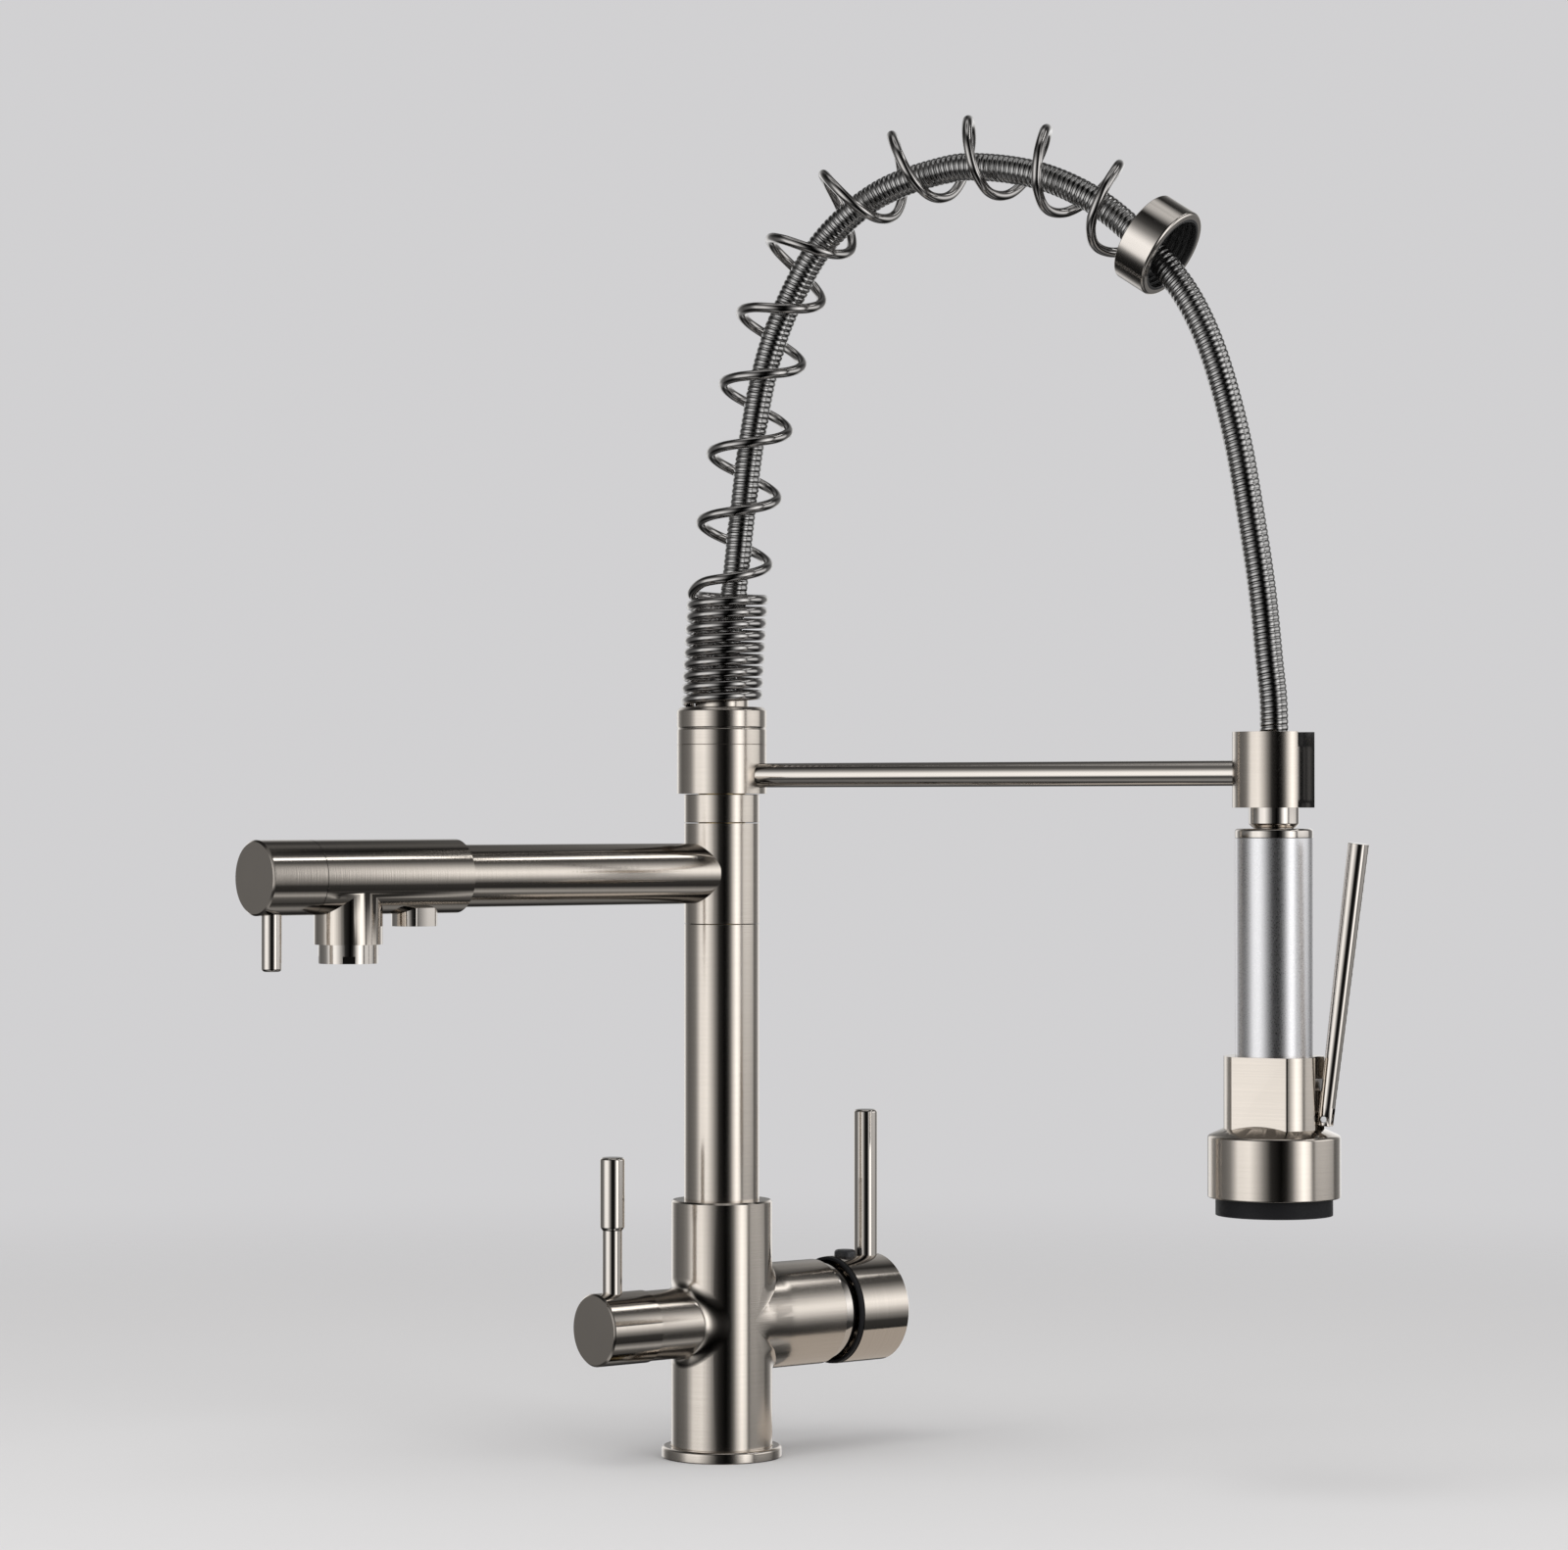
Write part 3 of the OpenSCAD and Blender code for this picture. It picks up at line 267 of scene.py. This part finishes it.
def from_point(tree, point):
    """Where a surface lies from a fixed point."""
    return vector_math(tree, "SUBTRACT", object_place(tree), point)


def ring_bore_shade_mask(tree):
    """1 inside the bore of the ring on the spring's far end, where shade is painted dark; 0 outside it."""
    away = from_point(tree, RING_PLACE)
    reach = vector_math(tree, "LENGTH", vector_math(tree, "CROSS_PRODUCT", away, RING_AXIS))
    return number_math(tree, "LESS_THAN", reach, RING_BORE_RADIUS)


def holder_slot_shade_mask(tree):
    """1 on the walls of the spray holder's slot, where shade is painted dark; 0 elsewhere."""
    away = from_point(tree, on_arm(ARM_REACH, 0, 0))
    aside = number_math(tree, "ABSOLUTE", vector_math(tree, "DOT_PRODUCT", away, ARM_ACROSS))
    outward = number_math(tree, "GREATER_THAN", vector_math(tree, "DOT_PRODUCT", away, ARM_OUTWARD))
    both = tree.nodes.new("ShaderNodeMath")
    both.operation = "MULTIPLY"
    tree.links.new(number_math(tree, "LESS_THAN", aside, HOLDER_SLOT_REACH), both.inputs[0])
    tree.links.new(outward, both.inputs[1])
    return both.outputs["Value"]


def add_painted_shade(material, mask_of):
    """Paints shade on a metal: makes it a dark non-metal wherever a mask is 1."""
    tree = material.node_tree
    shader = tree.nodes["Principled BSDF"]
    mask = mask_of(tree)
    mix = tree.nodes.new("ShaderNodeMix")
    mix.data_type = "RGBA"
    # Painted shade: the metal's colour gives way to near-black inside the mask
    tree.links.new(shader.inputs["Base Color"].links[0].from_socket, mix.inputs["A"])
    mix.inputs["B"].default_value = (*PAINTED_SHADE_COLOUR, 1)
    tree.links.new(mask, mix.inputs["Factor"])
    tree.links.new(mix.outputs["Result"], shader.inputs["Base Color"])
    tree.links.new(number_math(tree, "LESS_THAN", mask, MASK_MIDDLE), shader.inputs["Metallic"])
    return material


# The frame's own nodes: finishes, and eased edges

NICKEL = (0.66, 0.602, 0.54)
POLISHED = (0.70, 0.653, 0.605)
nickel_upright = brushed_metal("brushed_nickel_upright", NICKEL, roughness=0.17, axis="Z")
nickel_level = brushed_metal("brushed_nickel_level", NICKEL, roughness=0.08, axis="X")
nickel_polished = polished_metal("polished_nickel", POLISHED, roughness=0.07)
satin_silver = satin_metal("satin_sleeve", (0.84, 0.835, 0.85), roughness=0.3)
spring_pewter = polished_metal("spring_pewter", (0.48, 0.463, 0.45), roughness=0.1)
hose_steel = polished_metal("hose_steel", (0.45, 0.443, 0.436), roughness=0.15)
plain_steel = polished_metal("plain_steel", (0.62, 0.62, 0.63), roughness=0.28)
machined_brass = brushed_metal("machined_brass", (0.72, 0.55, 0.27), roughness=0.28, axis="Z")
black_rubber = soft_plastic("black_rubber", (0.008, 0.008, 0.009), roughness=0.5, gloss=0.15)
black_plastic = soft_plastic("black_plastic", (0.020, 0.020, 0.022), roughness=0.36, gloss=0.5)
pale_plastic = soft_plastic("pale_plastic", (0.72, 0.72, 0.70), roughness=0.45, gloss=0.5)
# Nickel for the spring's ring and the spray holder, with shade painted dark into the ring's bore and the
# holder's slot
ring_nickel_painted_shade = add_painted_shade(polished_metal("ring_nickel_painted_shade", POLISHED, roughness=0.12), ring_bore_shade_mask)
holder_nickel_painted_shade = add_painted_shade(brushed_metal("holder_nickel_painted_shade", NICKEL, roughness=0.17, axis="Z"), holder_slot_shade_mask)

SLOT_MATERIALS = {
    "brushed_nickel": nickel_upright,
    "polished_nickel": nickel_polished,
    "steel": plain_steel,
    "brass": machined_brass,
    "black_rubber": black_rubber,
    "inner_plastic": pale_plastic,
    "black_plastic": black_plastic,
    "spring_wire": spring_pewter,
    "hose": hose_steel,
    "satin_sleeve": satin_silver,
}
LEVEL_NODES = ["filter_knob", "mixer_cap", "spout_tube", "spout_sleeve", "selector_cap"]
ROD_NODES = ["filter_lever", "mixer_lever", "mixer_trim", "selector_pin", "arm_rod", "spray_lever"]

finish_of = {row["node"]: SLOT_MATERIALS[row["material_slot"]] for row in frame["record"]["subparts"]}
finish_of.update({node: nickel_level for node in LEVEL_NODES})
finish_of.update({node: nickel_polished for node in ROD_NODES})
# The ring and the holder take the nickel with painted shade in their bore and slot
finish_of["spring_ring"] = ring_nickel_painted_shade
finish_of["spray_holder"] = holder_nickel_painted_shade
for node, piece in frame["nodes"].items():
    piece.data.materials.clear()
    piece.data.materials.append(finish_of[node])

MERGE_DISTANCE = 1e-6
FLAT_ANGLE = math.radians(0.4)
EDGE_ANGLE = math.radians(40)
EDGE_SEGMENTS = 3
EDGE_WIDTHS = {
    "deck_flange": 0.0005, "tap_body": 0.0004, "column_tube": 0.0002, "upper_ring": 0.0003,
    "filter_knob": 0.0005, "filter_lever": 0.0004, "mixer_cap": 0.0006, "cap_seal": 0.0005,
    "mixer_lever": 0.0005, "screw_cover": 0.0006, "spout_hub": 0.0003, "spout_sleeve": 0.0004,
    "selector_cap": 0.0005, "selector_pin": 0.0004, "main_aerator": 0.0003, "filter_nozzle": 0.0004,
    "arm_collar": 0.0003, "spring_seat": 0.0003, "spray_holder": 0.0005, "spring_ring": 0.0004,
    "hose_ferrule": 0.0003, "grip_ring": 0.0004, "spray_block": 0.0005, "spray_bell": 0.0005,
    "spray_face": 0.0004, "spray_lever": 0.0004,
}


def ease_edges(node, width):
    """Rounds a turned piece's sharp edges a little, as a real machined piece has them."""
    piece = frame["nodes"][node]
    weld = piece.modifiers.new("weld", "WELD")
    weld.merge_threshold = MERGE_DISTANCE
    flat = piece.modifiers.new("flat_faces", "DECIMATE")
    flat.decimate_type = "DISSOLVE"
    flat.angle_limit = FLAT_ANGLE
    bevel = piece.modifiers.new("eased_edges", "BEVEL")
    bevel.width = width
    bevel.segments = EDGE_SEGMENTS
    bevel.limit_method = "ANGLE"
    bevel.angle_limit = EDGE_ANGLE
    bevel.use_clamp_overlap = True
    shading = piece.modifiers.new("flat_shading", "WEIGHTED_NORMAL")
    shading.mode = "FACE_AREA"


for node, width in EDGE_WIDTHS.items():
    ease_edges(node, width)


# Pieces made here: meshes, finishes and bodies

def grid_faces(rows, columns, rows_closed, columns_closed):
    """Four-sided faces of a grid of points; a closed side joins its last line to its first."""
    faces = []
    for i in range(rows if rows_closed else rows - 1):
        n = (i + 1) % rows
        for k in range(columns if columns_closed else columns - 1):
            m = (k + 1) % columns
            faces.append((i * columns + k, i * columns + m, n * columns + m, n * columns + k))
    return faces


def mesh_piece(name, verts, faces):
    """A smooth-shaded mesh object."""
    mesh = bpy.data.meshes.new(name)
    mesh.from_pydata([tuple(v) for v in verts], [], faces)
    mesh.validate()
    mesh.polygons.foreach_set("use_smooth", [True] * len(mesh.polygons))
    piece = bpy.data.objects.new(name, mesh)
    bpy.context.scene.collection.objects.link(piece)
    return piece


def dress(piece, body, material, slot, *nodes):
    """Gives a piece its finish and its body, and hides the nodes that it stands for."""
    piece.data.materials.append(material)
    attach(piece, body)
    if nodes:
        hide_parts(*nodes)


# Swept pieces: the hose and the spring

CURVE_SAMPLES = 24
HOSE_RIB_PITCH = 0.0023
HOSE_RIB_DEPTH = 0.00045
HOSE_RIB_POWER = 0.6
STEPS_PER_RIB = 8
HOSE_SIDES = 28
ARCH_STEP = 0.0002
WIRE_STEP = 0.001
WIRE_SIDES = 14


def smooth_path(points, step):
    """Points a set step apart on a smooth curve through others."""
    points = [np.array(p, float) for p in points]
    padded = [2 * points[0] - points[1], *points, 2 * points[-1] - points[-2]]
    dense = []
    for a, b, c, d in zip(padded, padded[1:], padded[2:], padded[3:]):
        for t in np.linspace(0, 1, CURVE_SAMPLES, endpoint=False):
            dense.append(0.5 * (2 * b + (c - a) * t + (2 * a - 5 * b + 4 * c - d) * t**2
                                + (3 * b - a - 3 * c + d) * t**3))
    dense.append(points[-1])
    return even_steps(np.array(dense), step)


def even_steps(points, step):
    """The same line, with its points an even step apart."""
    lengths = np.concatenate(([0], np.cumsum(np.linalg.norm(np.diff(points, axis=0), axis=1))))
    stops = np.linspace(0, lengths[-1], max(2, round(lengths[-1] / step)) + 1)
    return np.stack([np.interp(stops, lengths, points[:, k]) for k in range(3)], axis=1)


def swept_tube(name, path, radius_at, sides, side):
    """A closed round tube along a path. radius_at takes the distance run and the angle round the tube."""
    directions = np.gradient(path, axis=0)
    verts, run, last = [], 0, path[0]
    across = np.array(side, float)
    for point, direction in zip(path, directions):
        run += np.linalg.norm(point - last)
        last = point
        direction = unit(direction)
        across = unit(across - (across @ direction) * direction)
        upward = np.cross(direction, across)
        for k in range(sides):
            angle = 2 * math.pi * k / sides
            radius = radius_at(run, angle)
            verts.append(point + radius * (math.cos(angle) * across + math.sin(angle) * upward))
    rings = len(path)
    faces = grid_faces(rings, sides, rows_closed=False, columns_closed=True)
    faces.append(tuple(reversed(range(sides))))
    faces.append(tuple(range((rings - 1) * sides, rings * sides)))
    return mesh_piece(name, verts, faces)


def rib_radius(run, angle):
    """The hose's radius: rounded ribs wound round it, one pitch to a turn."""
    phase = math.pi * (run / HOSE_RIB_PITCH - angle / (2 * math.pi))
    return HOSE_DIAMETER / 2 - HOSE_RIB_DEPTH * (1 - abs(math.sin(phase)) ** HOSE_RIB_POWER)


def make_hose():
    """The ribbed hose, from the spring's seat to its end inside the spray head."""
    route = [on_arm(along, 0, SEAT_TOP + height) for along, height in HOSE_ROUTE]
    path = smooth_path(route, HOSE_RIB_PITCH / STEPS_PER_RIB)
    hose = swept_tube("ribbed_hose", path, rib_radius, HOSE_SIDES, ARM_ACROSS)
    dress(hose, "arm", hose_steel, "hose", "spray_hose")


def helix_point(centre, direction, angle):
    """A point of the spring's wire, round a centre on the spring's axis."""
    outward = np.cross(ARM_ACROSS, direction)
    return centre + SPRING_RADIUS * (-math.cos(angle) * outward + math.sin(angle) * ARM_ACROSS)


def spring_points():
    """Points of the wire: its foot in the seat, the close turns, the open turns, and its end on the ring."""
    upward = np.array((0, 0, 1.0))
    turn = -2 * math.pi / STEPS_PER_TURN
    close_steps = CLOSE_TURNS * STEPS_PER_TURN
    route = [on_arm(along, 0, SEAT_TOP + height) for along, height in SPRING_ROUTE]
    route = [on_arm(STACK_LEAN, 0, CLOSE_START + CLOSE_TURNS * CLOSE_PITCH), *route[:-1],
             RING_PLACE - RING_AXIS * WIRE_DIAMETER]
    arch = smooth_path(route, ARCH_STEP)
    headings = np.gradient(arch, axis=0)
    foot = helix_point(np.zeros(3), upward, SPRING_PHASE - END_SHARE * turn)
    points = [foot + upward * (TAIL_TOP - WIRE_DIAMETER), foot + upward * TAIL_TOP]
    for k in range(close_steps + 1):
        centre = on_arm(STACK_LEAN * k / close_steps, 0, CLOSE_START + k * CLOSE_PITCH / STEPS_PER_TURN)
        points.append(helix_point(centre, upward, SPRING_PHASE + k * turn))
    for k in range(1, OPEN_STEPS + 1):
        share = k / OPEN_STEPS
        share = share * (1 - PITCH_GROWTH) + PITCH_GROWTH * share**2
        at = round(share * (len(arch) - 1))
        points.append(helix_point(arch[at], unit(headings[at]), SPRING_PHASE + (close_steps + k) * turn))
    last = helix_point(RING_PLACE, RING_AXIS, SPRING_PHASE + (close_steps + OPEN_STEPS + END_SHARE) * turn)
    return [*points, last - RING_AXIS * WIRE_DIAMETER, last]


def make_spring():
    """The spring's round wire, along the same points as the solid's."""
    path = smooth_path(spring_points(), WIRE_STEP)
    spring = swept_tube("spring_coil", path, lambda run, angle: WIRE_DIAMETER / 2, WIRE_SIDES, (1, 0, 0))
    dress(spring, "arm", spring_pewter, "spring_wire", "arch_spring")


make_hose()
make_spring()


# Fillets where the two branches leave the body

FILLET_SIDES = 192
FILLET_STEPS = 10
FILLET_ROOT = 0.0003
FILLET_ROOM = 0.9
FILLET_LEAST = 1e-5
FILLET_SHARP = math.radians(50)
BODY_REACH = 0.998 * BODY_RADIUS
TINY = 1e-6


def branch_fillet(name, side, branch_radius, fillet_radius):
    """A cove between the upright body and a level branch: +1 is the mixer's side, -1 the filter's."""
    bends = [math.pi / 2 * k / FILLET_STEPS for k in range(FILLET_STEPS + 1)]
    verts = []
    for i in range(FILLET_SIDES):
        angle = 2 * math.pi * i / FILLET_SIDES
        room = FILLET_ROOM * (BODY_REACH / max(abs(math.sin(angle)), TINY) - branch_radius)
        fillet = max(min(fillet_radius, room), FILLET_LEAST)
        section = [(fillet * (1 - math.cos(bend)), fillet * (1 - math.sin(bend))) for bend in bends]
        section.append((-FILLET_ROOT, -FILLET_ROOT))
        for rise, stand in section:
            reach = branch_radius + rise
            across = reach * math.sin(angle)
            out = math.sqrt(BODY_RADIUS**2 - across**2) + stand
            verts.append((side * out, across, VALVE_HEIGHT + reach * math.cos(angle)))
    faces = grid_faces(FILLET_SIDES, len(section), rows_closed=True, columns_closed=True)
    if side < 0:
        faces = [tuple(reversed(face)) for face in faces]
    cove = mesh_piece(name, verts, faces)
    cove.data.set_sharp_from_angle(angle=FILLET_SHARP)
    dress(cove, "base", nickel_upright, "brushed_nickel")


branch_fillet("mixer_fillet", 1, branch_radius=0.02145, fillet_radius=0.004)
branch_fillet("filter_fillet", -1, branch_radius=0.0147, fillet_radius=0.0045)


# Stage: floor, studio light and camera

FLOOR_RADII = (0.35, 1.4)
FLOOR_SIDES = 96
FLOOR_COLOUR = (0.67, 0.665, 0.66)
FLOOR_ROUGHNESS = 0.55
FLOOR_FADE_START = 0.45
FLOOR_FADE_END = 1.35
BACKGROUND = (0.64, 0.635, 0.645)
CARD_LOW = (0.055, -0.075)
CARD_HIGH = (0.15, 0.045)
CARD_HEIGHT = 0.001
CARD_COLOUR = (0.5, 0.46, 0.42)
STUDIO_HEIGHT = 0.28
DOME_RADIUS = 3
DOME_SIDES = 72
DOME_LEVELS = 36
FULL_TURN = 360
HALF_TURN = 180

# Each softbox: angle to the right of the camera, distance, height, its width and height, brightness
SOFTBOXES = {
    "right_softbox": (45, 1.5, 0.7, (0.9, 1.7), 2.2),
    "left_softbox": (-60, 1.5, 0.7, (0.9, 1.5), 1.8),
    "top_softbox": (-20, 0.7, 1.8, (1.2, 1.0), 2.2),
}
# Brightness of the studio's panels by angle to the right of the camera, and by height above the horizon
PANELS = [
    (-180, 0.2), (-172, 0.6), (-163, 1.1), (-150, 0.9), (-139, 0.3), (-122, 0.14), (-98, 0.2), (-86, 0.3),
    (-76, 0.72), (-69, 1.2), (-57, 1.25), (-46, 1.35), (-32, 0.8), (-20, 0.3), (-9, 0.03), (9, 0),
    (19, 0.02), (27, 0.2), (36, 1), (46, 1.9), (57, 1.3), (63, 0.15), (69, 0), (108, 0),
    (122, 0.12), (139, 0.3), (150, 0.9), (163, 1.1), (172, 0.6), (180, 0.2),
]
PANEL_HEIGHTS = [
    (-90, 0.4), (-62, 0.3), (-45, 0.15), (-33, 0.05), (-26, 0.08), (-20, 0.35), (-14, 0.85), (-8, 1),
    (10, 1), (20, 0.75), (31, 0.35), (45, 0.12), (62, 0.1), (90, 0.05),
]
# Panels on the right side, one above another: a bright strip high up, and a pale one low down
SIDE_PANELS = [
    (-180, 0), (64, 0), (69, 0.95), (84, 1), (99, 0.9), (111, 0.7), (116, 0.1), (136, 0), (180, 0),
]
SIDE_HEIGHTS = [
    (-90, 0.03), (-57, 0.1), (-52, 0.15), (-47, 0.5), (-42, 0.25), (-36, 0.03), (-22, 0.05), (-12, 0.35),
    (-4, 0.8), (2, 1.2), (9, 1.4), (15, 1.2), (24, 0.7), (32, 0.3), (38, 0.1), (45, 0.1),
    (47, 2.6), (50, 2.6), (52, 0.3), (57, 0.05), (90, 0.05),
]
CEILING = [(-90, 0), (62, 0), (69, 0.35), (75, 0.7), (82, 0.35), (87, 0.08), (90, 0.05)]


def make_floor():
    """A pale round floor that fades into the background and isn't seen in reflections."""
    verts = [(0, 0, 0)]
    for radius in FLOOR_RADII:
        for k in range(FLOOR_SIDES):
            angle = 2 * math.pi * k / FLOOR_SIDES
            verts.append((radius * math.cos(angle), radius * math.sin(angle), 0))
    faces = [(0, 1 + k, 1 + (k + 1) % FLOOR_SIDES) for k in range(FLOOR_SIDES)]
    for k in range(FLOOR_SIDES):
        n = (k + 1) % FLOOR_SIDES
        faces.append((1 + k, 1 + FLOOR_SIDES + k, 1 + FLOOR_SIDES + n, 1 + n))
    floor = mesh_piece("floor", verts, faces)
    material, tree, shader = new_material("floor_pale", FLOOR_COLOUR, 0, FLOOR_ROUGHNESS)
    shader.inputs["Specular IOR Level"].default_value = 0
    fade = tree.nodes.new("ShaderNodeMapRange")
    fade.interpolation_type = "SMOOTHSTEP"
    fade.inputs["From Min"].default_value = FLOOR_FADE_START
    fade.inputs["From Max"].default_value = FLOOR_FADE_END
    fade.inputs["To Min"].default_value = 1
    fade.inputs["To Max"].default_value = 0
    tree.links.new(vector_math(tree, "LENGTH", object_place(tree)), fade.inputs["Value"])
    tree.links.new(fade.outputs["Result"], shader.inputs["Alpha"])
    floor.data.materials.append(material)
    floor.visible_glossy = False


def around_tap(offset, distance, height):
    """A place at an angle from the camera's own direction, counted to the right as the camera sees it."""
    angle = math.atan2(CAMERA_PLACE.y, CAMERA_PLACE.x) + math.radians(offset)
    return Vector((distance * math.cos(angle), distance * math.sin(angle), height))


def softbox(name, offset, distance, height, size, brightness):
    """An area lamp of a set brightness, aimed at the middle of the tap and not seen itself."""
    lamp = bpy.data.lights.new(name, "AREA")
    lamp.shape = "RECTANGLE"
    lamp.size, lamp.size_y = size
    lamp.energy = brightness * math.pi * size[0] * size[1]
    holder = bpy.data.objects.new(name, lamp)
    holder.location = around_tap(offset, distance, height)
    holder.rotation_mode = "QUATERNION"
    holder.rotation_quaternion = (Vector((0, 0, STUDIO_HEIGHT)) - holder.location).to_track_quat("-Z", "Y")
    holder.visible_camera = False
    holder.visible_glossy = False
    bpy.context.scene.collection.objects.link(holder)


def glowing(piece):
    """Makes a piece glow, in reflections alone. Gives its tree and the socket of the glow's colour."""
    material = bpy.data.materials.new(piece.name)
    material.use_nodes = True
    tree = material.node_tree
    tree.nodes.remove(tree.nodes["Principled BSDF"])
    glow = tree.nodes.new("ShaderNodeEmission")
    tree.links.new(glow.outputs["Emission"], tree.nodes["Material Output"].inputs["Surface"])
    piece.data.materials.append(material)
    piece.visible_camera = False
    piece.visible_diffuse = False
    piece.visible_shadow = False
    return tree, glow.inputs["Color"]


def shade_ramp(tree, value, stops, full_angle):
    """A grey that follows a list of angles, centred on 0, and brightnesses."""
    ramp = tree.nodes.new("ShaderNodeValToRGB")
    while len(ramp.color_ramp.elements) < len(stops):
        ramp.color_ramp.elements.new(0.5)
    for element, (angle, grey) in zip(ramp.color_ramp.elements, stops):
        element.position = angle / full_angle + 0.5
        element.color = (grey, grey, grey, 1)
    tree.links.new(value, ramp.inputs["Fac"])
    return ramp.outputs["Color"]


def add_product(tree, first, second, more):
    """The product of two greys, plus a third."""
    node = tree.nodes.new("ShaderNodeVectorMath")
    node.operation = "MULTIPLY_ADD"
    for socket, value in zip(node.inputs, (first, second, more)):
        tree.links.new(value, socket)
    return node.outputs["Vector"]


def make_reflections():
    """A studio of pale panels and dark drapes round the tap, seen only in its reflections."""
    verts, places = [], []
    for i in range(DOME_LEVELS + 1):
        rise = math.radians(HALF_TURN * i / DOME_LEVELS - HALF_TURN / 2)
        level = STUDIO_HEIGHT + DOME_RADIUS * math.sin(rise)
        for k in range(DOME_SIDES + 1):
            offset = FULL_TURN * k / DOME_SIDES - FULL_TURN / 2
            verts.append(around_tap(offset, DOME_RADIUS * math.cos(rise), level))
            places.append((k / DOME_SIDES, i / DOME_LEVELS))
    faces = grid_faces(DOME_LEVELS + 1, DOME_SIDES + 1, rows_closed=False, columns_closed=False)
    dome = mesh_piece("studio_reflections", verts, faces)
    layer = dome.data.uv_layers.new(name="studio")
    for loop in dome.data.loops:
        layer.data[loop.index].uv = places[loop.vertex_index]
    tree, glow_colour = glowing(dome)
    split = tree.nodes.new("ShaderNodeSeparateXYZ")
    tree.links.new(tree.nodes.new("ShaderNodeUVMap").outputs["UV"], split.inputs["Vector"])
    across, upward = split.outputs["X"], split.outputs["Y"]
    panels = shade_ramp(tree, across, PANELS, FULL_TURN)
    heights = shade_ramp(tree, upward, PANEL_HEIGHTS, HALF_TURN)
    side_panels = shade_ramp(tree, across, SIDE_PANELS, FULL_TURN)
    side_heights = shade_ramp(tree, upward, SIDE_HEIGHTS, HALF_TURN)
    shaded = add_product(tree, panels, heights, shade_ramp(tree, upward, CEILING, HALF_TURN))
    shaded = add_product(tree, side_panels, side_heights, shaded)
    tree.links.new(shaded, glow_colour)


def make_card():
    """A warm card that lies by the mixer and lights its underside in reflections."""
    left, front = CARD_LOW
    right, back = CARD_HIGH
    corners = [(left, front), (right, front), (right, back), (left, back)]
    card = mesh_piece("warm_card", [(x, y, CARD_HEIGHT) for x, y in corners], [(0, 1, 2, 3)])
    glow_colour = glowing(card)[1]
    glow_colour.default_value = (*CARD_COLOUR, 1)


def make_light():
    """One grey all round, three softboxes, and what the metal reflects."""
    world = bpy.data.worlds.new("studio")
    bpy.context.scene.world = world
    world.use_nodes = True
    background = world.node_tree.nodes["Background"]
    background.inputs["Color"].default_value = (*BACKGROUND, 1)
    background.inputs["Strength"].default_value = 1
    for name, settings in SOFTBOXES.items():
        softbox(name, *settings)
    make_reflections()
    make_card()


def make_camera():
    """The photograph's camera."""
    data = bpy.data.cameras.new("photo_camera")
    data.sensor_width = SENSOR_WIDTH
    data.lens = FOCAL_PIXELS / PHOTO_WIDTH * SENSOR_WIDTH
    camera = bpy.data.objects.new("photo_camera", data)
    camera.location = CAMERA_PLACE
    rise = (HORIZON_PIXEL - PHOTO_HEIGHT / 2) / FOCAL_PIXELS
    direction = Vector((-math.sin(CAMERA_AZIMUTH), math.cos(CAMERA_AZIMUTH), rise))
    camera.rotation_mode = "QUATERNION"
    camera.rotation_quaternion = direction.to_track_quat("-Z", "Y")
    bpy.context.scene.collection.objects.link(camera)
    bpy.context.scene.camera = camera


make_floor()
make_light()
make_camera()
bpy.context.scene.view_settings.view_transform = "Standard"
